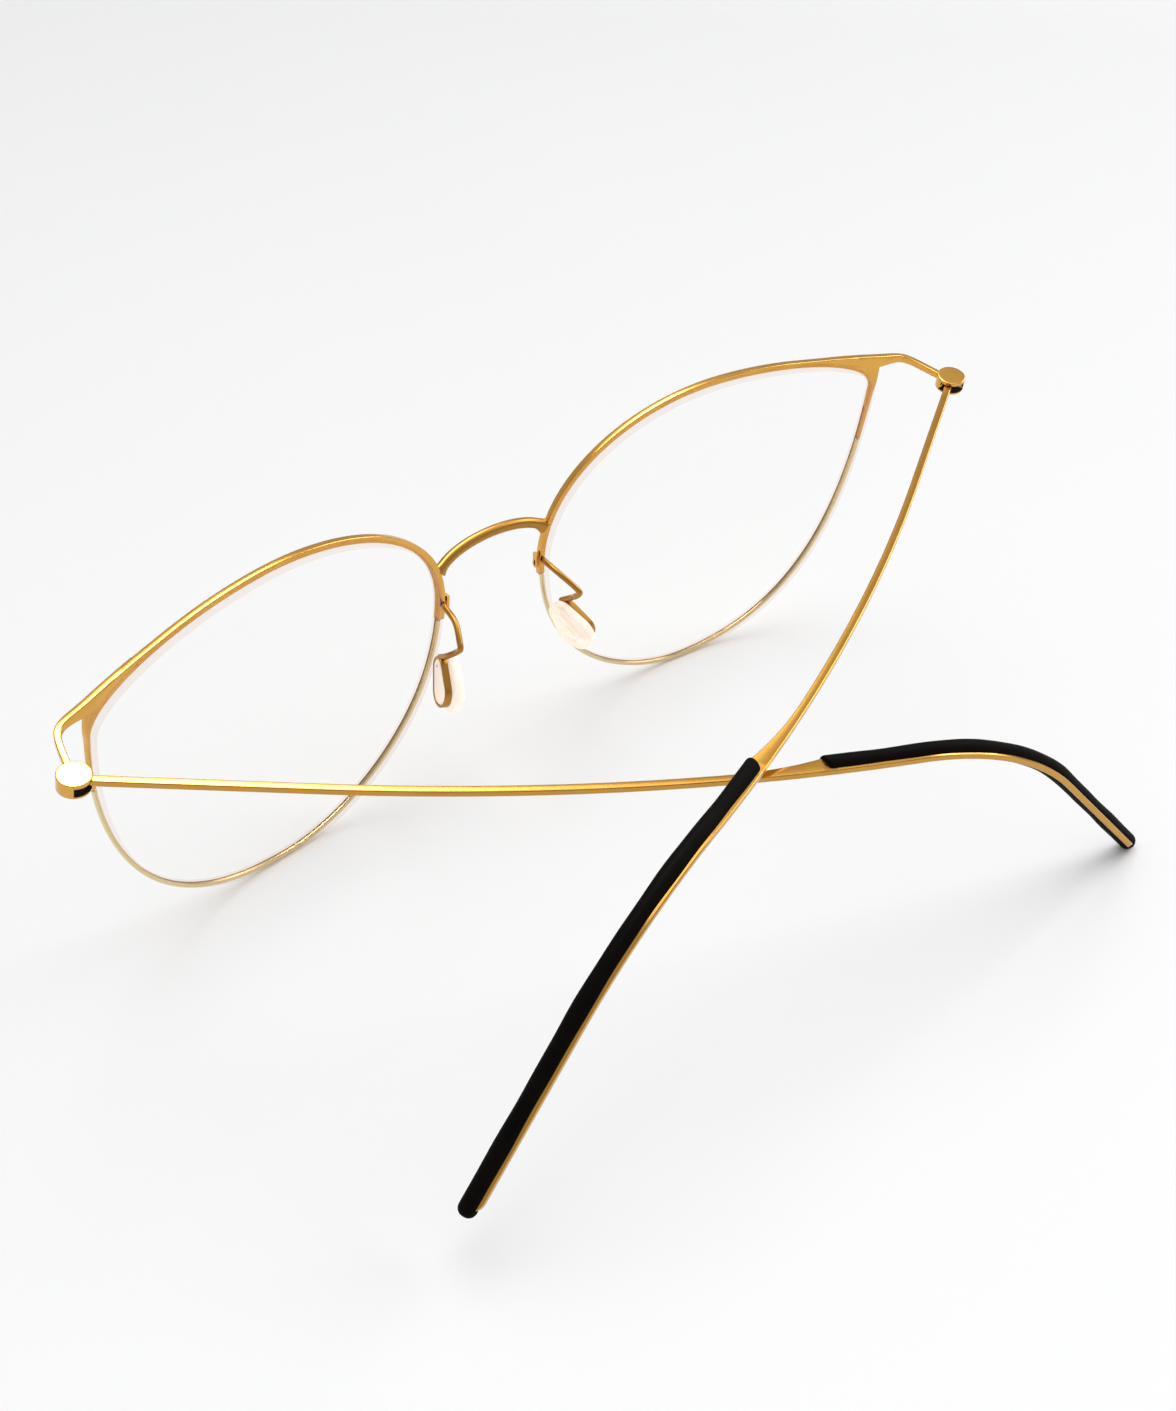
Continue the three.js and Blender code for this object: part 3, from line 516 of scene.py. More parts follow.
def gold_finish(name, grain=0.0, toward="gold", share=0.0, satin=0.0):
    """Satin gold plating: slow patches of deeper gold, a fine speckle in gloss and height, and on
    drawn pieces fine lines along the run. A share of another tone shifts it: pale gold is painted
    highlight and dull gold is painted shade. Satin adds to its roughness."""
    tone = colours()
    light, deep = (mix(np.array(colour), np.array(getattr(tone, toward)), share)
                   for colour in (tone.gold, tone.gold_deep))
    made = Finish(name)
    place = made.place()
    patch = made.noise(place, scale=260.0, detail=4.0)
    speckle = made.noise(place, scale=5200.0, detail=2.0, roughness=0.7)
    height = speckle
    if grain:
        lines = made.noise(made.run(along=90.0, around=9000.0), scale=1.0, roughness=0.6)
        height = speckle * (1 - grain) + lines * grain
    worn = made.share(patch * 0.6 + height * 0.4, low=0.35, high=0.75)
    return made.surface(made.principled({
        "Base Color": made.blend(worn, light, deep), "Metallic": 1.0,
        "Roughness": 0.13 + satin + height * 0.13,
        "Coat Weight": 0.18, "Coat Roughness": 0.10, "Coat IOR": 1.6,
        "Normal": made.bump(height, strength=0.012, distance=0.02 * MM)}))


def slot_shade_finish(name):
    """Painted shade in the hinge slot: the plating painted near black, with darker spots from a noise, and
    little gloss.
    """
    tone = colours()
    made = Finish(name)
    soil = made.noise(made.place(), scale=1800.0, detail=4.0)
    return made.surface(made.principled({
        "Base Color": made.blend(soil, tone.slot, tone.slot_shade_dark),
        "Roughness": 0.55 + soil * 0.2, "Specular IOR Level": 0.1}))


def steel_finish(name):
    """Turned steel: fine dark marks in colour and gloss."""
    tone = colours()
    made = Finish(name)
    marks = made.noise(made.place(), scale=9000.0, detail=2.0)
    return made.surface(made.principled({
        "Base Color": made.blend(marks, tone.steel, tone.steel_dark),
        "Metallic": 1.0, "Roughness": 0.25 + marks * 0.2}))


def lens_finish(name):
    """Clear polished face: light passes straight through, and a share that grows at a slant is
    mirrored."""
    tone = colours()
    made = Finish(name)
    film = made.noise(made.place(), scale=60.0, detail=2.0)
    clear = made.node("ShaderNodeBsdfTransparent", None, {"Color": rgba(tone.lens_clear)})
    gloss = made.principled({
        "Base Color": rgba(tone.lens_mirror), "Metallic": 1.0, "Roughness": 0.02 + film * 0.02})
    return made.surface(made.mixed(made.slant(0.12) * 0.22, clear, gloss))


def lens_edge_finish(name):
    """Ground lens edge: light passes with a pale warm tint, clouded by the fine scatter of the
    grinding wheel, and a share that grows at a slant is mirrored."""
    tone = colours()
    made = Finish(name)
    frost = made.noise(made.place(), scale=3500.0)
    tinted = made.blend(frost, tone.lens_edge, tone.lens_frost)
    clear = made.node("ShaderNodeBsdfTransparent", None, {"Color": tinted})
    ground = made.principled({
        "Base Color": tinted, "Roughness": 0.3 + frost * 0.2,
        "Normal": made.bump(frost, strength=0.15, distance=0.03 * MM)})
    return made.surface(made.mixed(0.03 + made.slant(0.3) * 0.06, clear, ground))


def silicone_glow_finish(name):
    """Translucent pad silicone: pale, soft gloss, light spread inside, a painted glow from a weak emission
    of its own colour, and a faint moulded grain.
    """
    tone = colours()
    made = Finish(name)
    cloud = made.noise(made.place(), scale=420.0)
    grain = made.noise(made.place(), scale=6000.0, detail=2.0)
    base = made.blend(cloud * 0.6, tone.silicone, tone.silicone_pale)
    return made.surface(made.principled({
        "Base Color": base, "Roughness": 0.32 + grain * 0.12,
        "Subsurface Weight": 0.4, "Subsurface Radius": (1.0, 0.6, 0.4), "Subsurface Scale": 1.2 * MM,
        # Painted glow: the pads emit their own colour, which stands in for light passing through the
        # silicone
        "Alpha": 0.66, "Emission Color": base, "Emission Strength": 0.26,
        "Normal": made.bump(grain, strength=0.08, distance=0.03 * MM)}))


def sleeve_sheen_finish(name):
    """Black silicone: a soft brownish sheen painted in slow clouds of its colour, dust specks and a fine
    moulded grain.
    """
    tone = colours()
    made = Finish(name)
    place = made.place()
    grain = made.noise(place, scale=4200.0, roughness=0.6)
    cloud = made.noise(place, scale=300.0)
    dust = made.share(made.noise(place, scale=2600.0, detail=1.0), low=0.74, high=0.82)
    # Painted sheen: brownish clouds in the black stand in for the sleeves' soft sheen
    sheen_clouds = made.blend(cloud, tone.sleeve, tone.sleeve_painted_sheen)
    return made.surface(made.principled({
        "Base Color": made.blend(dust * 0.3, sheen_clouds, tone.sleeve_dust),
        "Roughness": 0.48 + grain * 0.18, "Specular IOR Level": 0.03,
        "Normal": made.bump(grain, strength=0.2, distance=0.05 * MM)}))


def nylon_finish(name):
    """Matte nylon with a faint mottling."""
    tone = colours()
    made = Finish(name)
    mottle = made.noise(made.place(), scale=2200.0)
    return made.surface(made.principled({
        "Base Color": made.blend(mottle, tone.nylon, tone.nylon_dark),
        "Roughness": 0.5 + mottle * 0.15}))


# Level direction across the table, away from the camera
TABLE_AWAY = (-0.70, -0.715, 0.0)


def table_painted_shade_finish(name):
    """Pale matte table top, its colour a little darker far from the camera as painted shade, with the
    slightest unevenness.
    """
    tone = colours()
    made = Finish(name)
    place = made.place()
    cloud = made.noise(place, scale=14.0, detail=2.0)
    away = made.node("ShaderNodeVectorMath", {"operation": "DOT_PRODUCT"},
                     {0: place, 1: TABLE_AWAY}, "Value")
    # Painted shade: the colour darkens across the table away from the camera
    far = made.share(away + cloud * 0.02, low=-0.12, high=0.30)
    return made.surface(made.principled({
        "Base Color": made.blend(far, tone.floor, tone.floor_painted_shade),
        "Roughness": 0.6, "Specular IOR Level": 0.2}))


FINISHES = {}
# Settings of the gold finishes
GOLDS = {
    "frame gold": {},
    "lock gold": {},
    # The rim gold is mostly pale gold: a painted highlight on the fine lower rims
    "rim gold painted highlight": {"toward": "gold_painted_highlight", "share": 0.92},
    # The wire gold, and a little over half of the temple gold, is dull gold: a darker copy that paints in
    # shade
    "wire gold painted shade": {"toward": "gold_painted_shade", "share": 1.0, "satin": 0.14},
    "temple gold painted shade": {"grain": 0.6, "toward": "gold_painted_shade", "share": 0.55},
}


def finish(name, maker, **values):
    """A finish by name, made the first time it is asked for."""
    if name not in FINISHES:
        FINISHES[name] = maker(name, **values)
    return FINISHES[name]


def gold(name):
    """One of the gold finishes by name."""
    return finish(name, gold_finish, **GOLDS[name])


# Front

# Rows along and points round each surface
ARC_STEPS, BROW_ROWS, LOWER_ROWS, END_ROWS = 1200, 340, 260, 120
LENS_POINTS, LENS_RINGS, BRIDGE_ROWS, BRIDGE_SIDES = 300, 14, 140, 28
# Reach of the outline's tangents at its lowest, highest and two side points, in millimetres
NOSE_DOWN, LOW_IN, LOW_OUT, OUTER_DOWN = 17.1, 10.6, 16.4, 25.2
OUTER_UP, TOP_OUT, TOP_IN, NOSE_UP = 6.0, 7.0, 12.6, 12.4
# Rounding of the rims' edges
RIM_EDGE = 0.16 * MM
# Depth of the end piece's start under the brow's edge, and its thickness there as a share of the brow's
END_SUNK, END_INSIDE = 0.02 * MM, 0.99
# Size of a lens's smallest ring as a share, and half width and height of the bevel on its edge
LENS_MIDDLE, LENS_GROUND, LENS_BEVEL = 0.02, 0.26 * MM, 0.3 * MM
# Share of the brow's width at which the bridge's path starts
BRIDGE_INSIDE = 0.9
# A cubic's middle moves three quarters as far as its two handles
HANDLE_GAIN = 4 / 3


class Eye:
    """The eye outline, as points and outward normals by run from the point nearest the nose, down
    and round."""

    def __init__(self):
        size = front_sizes()
        self.size = size
        half_x, half_z = size.eye_width / 2, size.eye_height / 2
        nose, low = np.array([-half_x, size.nose_z]), np.array([size.low_x, -half_z])
        outer, top = np.array([half_x, size.outer_z]), np.array([size.top_x, half_z])
        arcs = (
            (nose, shifted(nose, 0, -NOSE_DOWN), shifted(low, -LOW_IN, 0), low),
            (low, shifted(low, LOW_OUT, 0), shifted(outer, 0, -OUTER_DOWN), outer),
            (outer, shifted(outer, 0, OUTER_UP), shifted(top, TOP_OUT, 0), top),
            (top, shifted(top, -TOP_IN, 0), shifted(nose, 0, NOSE_UP), nose),
        )
        t = np.linspace(0, 1, ARC_STEPS, endpoint=False)
        points = np.concatenate([bezier(arc, t) for arc in arcs])
        step = np.linalg.norm(np.roll(points, -1, 0) - points, axis=1)
        self.length = step.sum()
        self.runs = np.concatenate([[0], np.cumsum(step)[:-1]])
        along = unit(np.roll(points, -1, 0) - np.roll(points, 1, 0))
        self.table = np.concatenate([points, np.stack([along[:, 1], -along[:, 0]], 1)], 1)
        self.outer_point = self.runs[2 * ARC_STEPS]
        self.web_point = self.outer_point + size.web_past
        self.outer_joint = self.outer_point - size.outer_joint

    def at(self, run):
        """Points and outward normals at a run, by straight interpolation in the dense table."""
        values = [np.interp(run, self.runs, column, period=self.length) for column in self.table.T]
        return np.stack(values[:2], -1), unit(np.stack(values[2:], -1))

    def dished(self, flat, back):
        """Flat eye points laid on the base sphere, then moved back."""
        radius = self.size.base_radius
        dish = radius - np.sqrt(radius**2 - (flat**2).sum(-1))
        return np.stack(np.broadcast_arrays(flat[..., 0], dish + back, flat[..., 1]), -1)

    def on_front(self, run, out, back):
        """Points out from the outline along its normal, on the base sphere, and back from it."""
        point, normal = self.at(run)
        return self.dished(point + normal * np.asarray(out)[..., None], back)

    def brow_width(self, run):
        """Lower width plus the cube of the run up to the web; past it the brow plus the square of
        the run."""
        size, past = self.size, run - self.web_point
        rising = mix(size.lower_width, size.web_width, np.clip(1 + past / size.web_rim_run, 0, 1) ** 3)
        falling = mix(size.brow_width, size.web_width, np.clip(1 - past / size.web_run, 0, 1) ** 2)
        return np.where(past > 0, falling, rising)

    def brow_depth(self, run):
        """Lower depth eased to the brow depth between the outer joint and the web."""
        share = (run - self.outer_joint) / (self.web_point - self.outer_joint)
        return mix(self.size.lower_depth, self.size.brow_depth, smooth(share))

    def lower_width(self, run):
        """The same width all along the lower rim."""
        return np.full_like(run, self.size.lower_width)

    def lower_depth(self, run):
        """The same depth all along the lower rim."""
        return np.full_like(run, self.size.lower_depth)

    def rim(self, start, end, count, width, depth):
        """A rim: a rounded section, notched for the lens, carried along the outline. Each row's
        section runs round the outer corners, then along the inner side through the groove."""
        size = self.size
        run = np.linspace(start, end, count)[:, None]
        wide, deep = width(run), depth(run)
        x, y = section(wide / 2, deep / 2, RIM_EDGE)
        x = x + wide / 2
        notch_x = np.array([0.0, size.groove_depth, 0.0]) + 0 * run
        notch_y = np.array([size.groove_half, 0.0, -size.groove_half]) + 0 * run
        middle = len(x[0]) // 2
        x = np.concatenate([x[:, :middle], notch_x, x[:, middle:]], 1)
        y = np.concatenate([y[:, :middle], notch_y, y[:, middle:]], 1)
        return self.on_front(np.broadcast_to(run, x.shape), x, y)


def end_piece(eye):
    """The end piece: a cubic path from the brow's line to the hinge barrel, eased onto the brow's
    surface at its start, so that it follows the brow and then leaves it. Its rounded section starts
    with the brow's depth, and a bell-shaped gusset makes it taller where it leaves the web."""
    size, hinge = front_sizes(), temple_sizes()
    sunk = size.end_height / 2 + END_SUNK
    level = UP * (-size.end_drop - size.end_height / 2)
    inward = np.array([-math.sin(size.end_turn), -math.cos(size.end_turn), 0.0])

    def on_brow(run):
        return eye.on_front(run, eye.brow_width(run) - sunk, 0.0)

    def before_hinge(distance):
        return front_to_eye(hinge_to_front(inward * distance + level))

    run = eye.web_point + size.end_before
    start = on_brow(run)
    ahead = unit(start - on_brow(run + size.end_height))
    stop = hinge.barrel_radius - size.seam
    path = bezier((start, start + ahead * size.end_lead, before_hinge(stop + size.end_tail),
                   before_hinge(stop)), np.linspace(0, 1, END_ROWS))
    gone = runs_along(path) - size.end_before
    left = smooth(gone / size.end_leave)
    path[:, 1] = mix(eye.dished(path[:, [0, 2]], 0.0)[:, 1], path[:, 1], left)
    along = unit(np.gradient(path, axis=0))
    side = unit(np.cross(UP, along))
    over = np.cross(along, side)
    gusset = (size.end_gusset * np.exp(-((gone / size.end_gusset_run) ** 2)))[:, None]
    thick = mix(END_INSIDE * size.brow_depth, size.end_width, left)[:, None]
    x, y = section(thick / 2, (size.end_height + gusset) / 2, RIM_EDGE)
    return sweep(path, side, over, x, y - gusset / 2)


class EYEGLASSES_OT_upper_rims(bpy.types.Operator):
    """Make the brows with their webs and end pieces."""

    bl_idname = "eyeglasses.upper_rims"
    bl_label = "Upper rims"

    def execute(self, context):
        eye, size = Eye(), front_sizes()
        half = size.seam / 2
        brow = eye.rim(eye.outer_joint + half, eye.length + size.nose_joint - half, BROW_ROWS,
                       eye.brow_width, eye.brow_depth)
        for name, side in SIDES:
            skins = [(to_row(eye_to_front(rows), side), False) for rows in (brow, end_piece(eye))]
            add_piece(f"{name}_brow", skins, gold("frame gold"), "front",
                      [f"{name}_upper_rim"])
        return {"FINISHED"}


class EYEGLASSES_OT_lower_rims(bpy.types.Operator):
    """Make the fine lower rims."""

    bl_idname = "eyeglasses.lower_rims"
    bl_label = "Lower rims"

    def execute(self, context):
        eye, size = Eye(), front_sizes()
        half = size.seam / 2
        wire = eye.rim(size.nose_joint + half, eye.outer_joint - half, LOWER_ROWS,
                       eye.lower_width, eye.lower_depth)
        for name, side in SIDES:
            add_piece(f"{name}_lower_wire", [(to_row(eye_to_front(wire), side), False)],
                      gold("rim gold painted highlight"), "front", [f"{name}_lower_rim"])
        return {"FINISHED"}


class EYEGLASSES_OT_lenses(bpy.types.Operator):
    """Make the lenses, with a clear face and a ground edge."""

    bl_idname = "eyeglasses.lenses"
    bl_label = "Lenses"

    def execute(self, context):
        eye, size = Eye(), front_sizes()
        run = np.linspace(0, eye.length, LENS_POINTS, endpoint=False)
        front, back = -size.lens_proud, size.lens_thickness - size.lens_proud
        # The outline scaled out from its middle, over the bevelled edge and back in, on the base sphere
        shares = np.linspace(LENS_MIDDLE, 1, LENS_RINGS)[:-1]
        flat, normal = eye.at(run)
        inner = flat - normal * size.seam
        edge = [(0, front), (0, -LENS_GROUND), (LENS_BEVEL, 0.0), (0, LENS_GROUND), (0, back)]
        rows = [eye.dished(inner * share, front) for share in shares]
        rows += [eye.dished(inner + normal * out, depth) for out, depth in edge]
        rows += [eye.dished(inner * share, back) for share in shares[::-1]]
        rows = np.stack(rows)
        band = np.zeros((len(rows) - 1, len(run)), np.int32)
        band[len(shares):len(shares) + len(edge) - 1] = 1
        for name, side in SIDES:
            lens = add_piece(f"{name}_clear_lens", [(to_row(eye_to_front(rows), side), False)],
                             finish("lens face", lens_finish), "front", [f"{name}_lens"])
            mark_band(lens, band, finish("lens edge", lens_edge_finish))
        return {"FINISHED"}


class EYEGLASSES_OT_bridge(bpy.types.Operator):
    """Make the arched bridge."""

    bl_idname = "eyeglasses.bridge"
    bl_label = "Bridge"

    def execute(self, context):
        eye, size = Eye(), front_sizes()
        inside = size.brow_width * BRIDGE_INSIDE
        root = eye_to_front(eye.on_front(eye.length - size.bridge_above, inside, 0.0))
        handle = root + np.array([-size.bridge_handle, -size.bridge_forward * HANDLE_GAIN,
                                  size.bridge_arch * HANDLE_GAIN])
        # An ellipse along a mirrored cubic, its height growing by the square of an eased share at its roots
        flip = np.array([-1.0, 1.0, 1.0])
        path = bezier((root, handle, handle * flip, root * flip), np.linspace(0, 1, BRIDGE_ROWS))
        along = unit(np.gradient(path, axis=0))
        front = unit(np.array([0.0, -1.0, 0.0]) + along * along[:, 1:2])
        over = np.cross(front, along)
        run = runs_along(path)
        near = 1 - smooth(np.minimum(run, run[-1] - run) / size.bridge_run)
        tall = mix(size.bridge_radius, size.bridge_root, near**2)[:, None]
        angle = circle(BRIDGE_SIDES)
        rows = sweep(path, front, over, size.bridge_radius * np.cos(angle) + 0 * tall,
                     tall * np.sin(angle))
        add_piece("arched_bridge", [(to_row(rows), False)], gold("wire gold painted shade"), "front",
                  ["bridge"])
        return {"FINISHED"}


# Nose pads

# Rows along and points round each surface
TEARDROP_HALF, WIRE_ROWS, WIRE_SIDES, PAD_RIM_ROWS, PAD_FACE_ROWS = 60, 160, 20, 16, 70
# Centre of the ring and hairpin bend from the wire's root, in millimetres
PAD_CENTRE, HAIRPIN = (2.9, 3.6, -8.7), (1.6, 5.7, -2.6)
# Bow of the wire's first leg, and places just before and after the hairpin, in millimetres
WIRE_BOW, HAIRPIN_BEFORE, HAIRPIN_AFTER = (-0.4, 0.2, 0.6), (-0.3, -0.6, 0.65), (0, -0.7, -1)
# Distance behind the ring at which the wire comes to it, and a direction that the wire never takes
RING_LEAD, WIRE_ASIDE = 2.6 * MM, np.array([0.35, 0.2, 0.9])
# Rounding of the ring's edges, and play of the pad's plug in the ring as a share of a seam
RING_EDGE, PLUG_PLAY = 0.1 * MM, 0.3
# Profile of the plug: shares of the overhang, and heights towards the nose
PLUG_SHARES = (-1.5, -0.5, -0.1, 0.0, 0.0, 0.0)
PLUG_HEIGHTS = np.array([-0.5, -0.49, -0.44, -0.34, 0.2, 0.55]) * MM
# Shares of the overhang at the start of the pad's rounded rim and at its middle, and the least one used
PAD_RIM, PAD_INNER, PAD_LEAST = 0.82, -1.9, -1.45
# Middle and half rise of the rim, as shares of the pad's thickness
PAD_RIM_MIDDLE, PAD_RIM_RISE = 0.36, 0.34
# Ridges on the pad's face, and the shares of it over which they set in and fade
RIDGES, RIDGE_START, RIDGE_END = 3, 1 / 6, 1 / 4


def pad_axes():
    """Root of the wire, centre of the ring, and the ring's backward, upward and noseward directions,
    on the left of the front."""
    eye, size, front = Eye(), pad_sizes(), front_sizes()
    root = eye_to_front(eye.on_front(0.0, front.brow_width / 2, front.brow_depth / 2 + front.seam))
    rake, splay = size.pad_rake, size.pad_splay
    up = np.array([-math.sin(rake) * math.sin(splay), -math.sin(rake) * math.cos(splay),
                   math.cos(rake)])
    level = np.array([-math.cos(splay), math.sin(splay), 0.0])
    nose = level * math.cos(size.pad_turn) + np.cross(up, level) * math.sin(size.pad_turn)
    return root, shifted(root, *PAD_CENTRE), np.cross(nose, up), up, nose


def teardrop(grow_low, grow_top):
    """Two circles and their common tangents, each circle grown by its own offset. The angle runs
    round, and each half of the turn takes its own circle."""
    size = pad_sizes()
    low, top = size.ring_low + grow_low, size.ring_top + grow_top
    low_z, top_z = size.ring_low - size.ring_length / 2, size.ring_length / 2 - size.ring_top
    lean = np.arcsin((low - top) / (top_z - low_z))
    t = np.linspace(0, 1, TEARDROP_HALF)
    upper = lean + (math.pi - 2 * lean) * t
    lower = math.pi - lean + (math.pi + 2 * lean) * t
    x = np.concatenate([top * np.cos(upper), low * np.cos(lower)])
    z = np.concatenate([top_z + top * np.sin(upper), low_z + low * np.sin(lower)])
    return x, z


def wire_path(points, count):
    """A smooth path through points: each span is a cubic whose end slopes come from the neighbouring
    points, over knots spaced by the square root of each chord."""
    points = np.asarray(points, float)
    chord = np.linalg.norm(np.diff(points, axis=0), axis=1)
    knots = np.concatenate([[0], np.cumsum(np.sqrt(chord))])
    slope = np.gradient(points, knots, axis=0)
    t = np.linspace(0, knots[-1], count)
    span = np.clip(np.searchsorted(knots, t, side="right") - 1, 0, len(chord) - 1)
    width = np.diff(knots)[span][:, None]
    share = (t - knots[span])[:, None] / width
    a, b = points[span], points[span + 1]
    da, db = slope[span] * width, slope[span + 1] * width
    s2, s3 = share**2, share**3
    return (a * (2 * s3 - 3 * s2 + 1) + da * (s3 - 2 * s2 + share)
            + b * (3 * s2 - 2 * s3) + db * (s3 - s2))


class EYEGLASSES_OT_nose_arms(bpy.types.Operator):
    """Make the hairpin wires and teardrop rings of the nose pads."""

    bl_idname = "eyeglasses.nose_arms"
    bl_label = "Nose arms"

    def execute(self, context):
        size = pad_sizes()
        root, centre, back, up, nose = pad_axes()
        # Ring: a rounded rectangle carried round the teardrop
        x, z = teardrop(-size.ring_wall / 2, -size.ring_wall / 2)
        path = centre + np.outer(-x, back) + np.outer(z, up)
        along = unit(np.roll(path, -1, 0) - np.roll(path, 1, 0))
        wall, deep = (np.full((len(path), 1), whole / 2) for whole in (size.ring_wall, size.ring_depth))
        ring = sweep(path, np.cross(along, nose), np.broadcast_to(nose, path.shape),
                     *section(wall, deep, RING_EDGE))
        # Wire: a circle carried along a smooth path from the rim lock by the hairpin to the ring
        hairpin = shifted(root, *HAIRPIN)
        ring_top = centre + up * (size.ring_length - size.ring_wall) / 2
        route = wire_path([
            root, shifted((root + hairpin) / 2, *WIRE_BOW), shifted(hairpin, *HAIRPIN_BEFORE), hairpin,
            shifted(hairpin, *HAIRPIN_AFTER), ring_top + back * RING_LEAD, ring_top], WIRE_ROWS)
        along = unit(np.gradient(route, axis=0))
        across = unit(np.cross(along, WIRE_ASIDE))
        over = np.cross(along, across)
        angle = circle(WIRE_SIDES)
        radius = np.full((len(route), 1), size.arm_radius)
        wire = sweep(route, across, over, radius * np.cos(angle), radius * np.sin(angle))
        for name, side in SIDES:
            add_piece(f"{name}_pad_arm", [(to_row(ring, side), True), (to_row(wire, side), False)],
                      gold("wire gold painted shade"), "front", [f"{name}_nose_arm"])
        return {"FINISHED"}


class EYEGLASSES_OT_nose_pads(bpy.types.Operator):
    """Make the ridged silicone nose pads."""

    bl_idname = "eyeglasses.nose_pads"
    bl_label = "Nose pads"

    def execute(self, context):
        size, front = pad_sizes(), front_sizes()
        _, centre, back, up, nose = pad_axes()
        plug = -size.ring_wall - front.seam * PLUG_PLAY
        seat = size.ring_depth / 2 + front.seam
        face = seat + size.pad_thickness
        # Each row is a teardrop grown by a share of the overhang, at a height towards the nose
        rim_angle = np.linspace(-0.5, 0.5, PAD_RIM_ROWS) * math.pi
        rim_share = PAD_RIM + (1 - PAD_RIM) * np.cos(rim_angle)
        rim_high = mix(seat, face, PAD_RIM_MIDDLE + PAD_RIM_RISE * np.sin(rim_angle))
        face_t = np.linspace(0, 1, PAD_FACE_ROWS)[1:]
        face_share = mix(PAD_RIM, PAD_INNER, face_t)
        crown = mix(rim_high[-1], face, np.sin(face_t * math.pi / 2))
        fade = smooth((1 - face_t) / RIDGE_END) * smooth(face_t / RIDGE_START)
        ridges = size.pad_ridge * np.sin(face_t * 2 * math.pi * RIDGES) * fade
        share = np.concatenate([PLUG_SHARES, rim_share, face_share])
        high = np.concatenate([PLUG_HEIGHTS, rim_high, crown + ridges])
        outlines = [teardrop(mix(plug, size.pad_low, s), mix(plug, size.pad_top, s))
                    for s in np.maximum(share, PAD_LEAST)]
        rows = np.stack([centre + np.outer(-x, back) + np.outer(z, up) + nose * h
                         for (x, z), h in zip(outlines, high)])
        for name, side in SIDES:
            pad = add_piece(f"{name}_silicone_pad", [(to_row(rows, side), False)],
                            finish("pad silicone painted glow", silicone_glow_finish), "front",
                            [f"{name}_nose_pad"])
        return {"FINISHED"}


# Hinges

# Wall, edge rounding and underside cup of a barrel, and radius of its smallest ring
BARREL_WALL, BARREL_EDGE, BARREL_CUP, BARREL_MIDDLE = 0.4 * MM, 0.12 * MM, 0.22 * MM, 0.02 * MM
# Rings on a barrel's top as shares of its radius, rows round its edge and points round it
BARREL_RINGS, BARREL_EDGE_ROWS, BARREL_SIDES = np.linspace(0.2, 0.85, 4), 6, 96
# Depth of the slot, and the height and turn over which its walls go in
SLOT_DEPTH, SLOT_STEP, SLOT_TURN = 0.62 * MM, 0.01 * MM, 1e-3


class EYEGLASSES_OT_hinges(bpy.types.Operator):
    """Make the slotted hinge barrels."""

    bl_idname = "eyeglasses.hinges"
    bl_label = "Hinge barrels"

    def execute(self, context):
        size = temple_sizes()
        radius, tall = size.barrel_radius, size.barrel_height
        quarter = np.linspace(0, math.pi / 2, BARREL_EDGE_ROWS)
        # A profile turned about the hinge's axis, from the middle of the top round its edge and down the
        # wall to the cupped underside, with its radius cut back inside the slot
        top_r = np.concatenate([[BARREL_MIDDLE], BARREL_RINGS * radius,
                                radius - BARREL_EDGE + BARREL_EDGE * np.sin(quarter)])
        top_z = np.concatenate([np.zeros(1 + len(BARREL_RINGS)),
                                -BARREL_EDGE + BARREL_EDGE * np.cos(quarter)])
        low_slot = -tall + size.slot_floor
        wall_z = np.array([-size.slot_top, -size.slot_top - SLOT_STEP, low_slot + SLOT_STEP, low_slot,
                           -tall + BARREL_EDGE / 2])
        wall_deep = np.array([0.0, 1.0, 1.0, 0.0, 0.0])
        cup = radius - BARREL_WALL
        under_r = np.array([radius - BARREL_EDGE / 2, cup, cup, BARREL_MIDDLE])
        under_z = np.array([0.0, 0.0, BARREL_CUP, BARREL_CUP]) - tall
        r = np.concatenate([top_r, np.full(len(wall_z), radius), under_r])
        z = np.concatenate([top_z, wall_z, under_z])
        deep = np.concatenate([np.zeros(len(top_r)), wall_deep, np.zeros(len(under_r))])
        start, end = (math.pi / 2 + bearing for bearing in (size.slot_start, size.slot_end))
        angle = np.sort(np.concatenate([
            circle(BARREL_SIDES), [start, start + SLOT_TURN, end - SLOT_TURN, end]]))
        inside = ((angle > start + SLOT_TURN / 2) & (angle < end - SLOT_TURN / 2)).astype(float)
        reach = r[:, None] - SLOT_DEPTH * deep[:, None] * inside[None, :]
        local = np.stack(np.broadcast_arrays(
            reach * np.cos(angle), reach * np.sin(angle), z[:, None]), -1)
        # Inside faces of the slot, which take the painted shade
        slot = np.zeros((len(r) - 1, len(angle)), np.int32)
        slot[len(top_r):len(top_r) + 3] = inside * np.roll(inside, -1)
        for name, side in SIDES:
            barrel = add_piece(f"{name}_barrel", [(to_row(hinge_to_front(local), side), False)],
                               gold("frame gold"), "front", [f"{name}_hinge_barrel"])
            mark_band(barrel, slot, finish("slot painted shade", slot_shade_finish))
        return {"FINISHED"}


class EYEGLASSES_OT_small_pieces(bpy.types.Operator):
    """Finish the rim locks, hinge pins, washers and caps."""

    bl_idname = "eyeglasses.small_pieces"
    bl_label = "Small pieces"

    def execute(self, context):
        looks = {"rim_lock": gold("lock gold"), "hinge_cap": gold("frame gold"),
                 "hinge_pin": finish("pin steel", steel_finish),
                 "hinge_washer": finish("washer nylon", nylon_finish)}
        for name, _ in SIDES:
            for kind, look in looks.items():
                node = frame["nodes"][f"{name}_{kind}"]
                node.data.materials.clear()
                node.data.materials.append(look)
        return {"FINISHED"}


# Temples

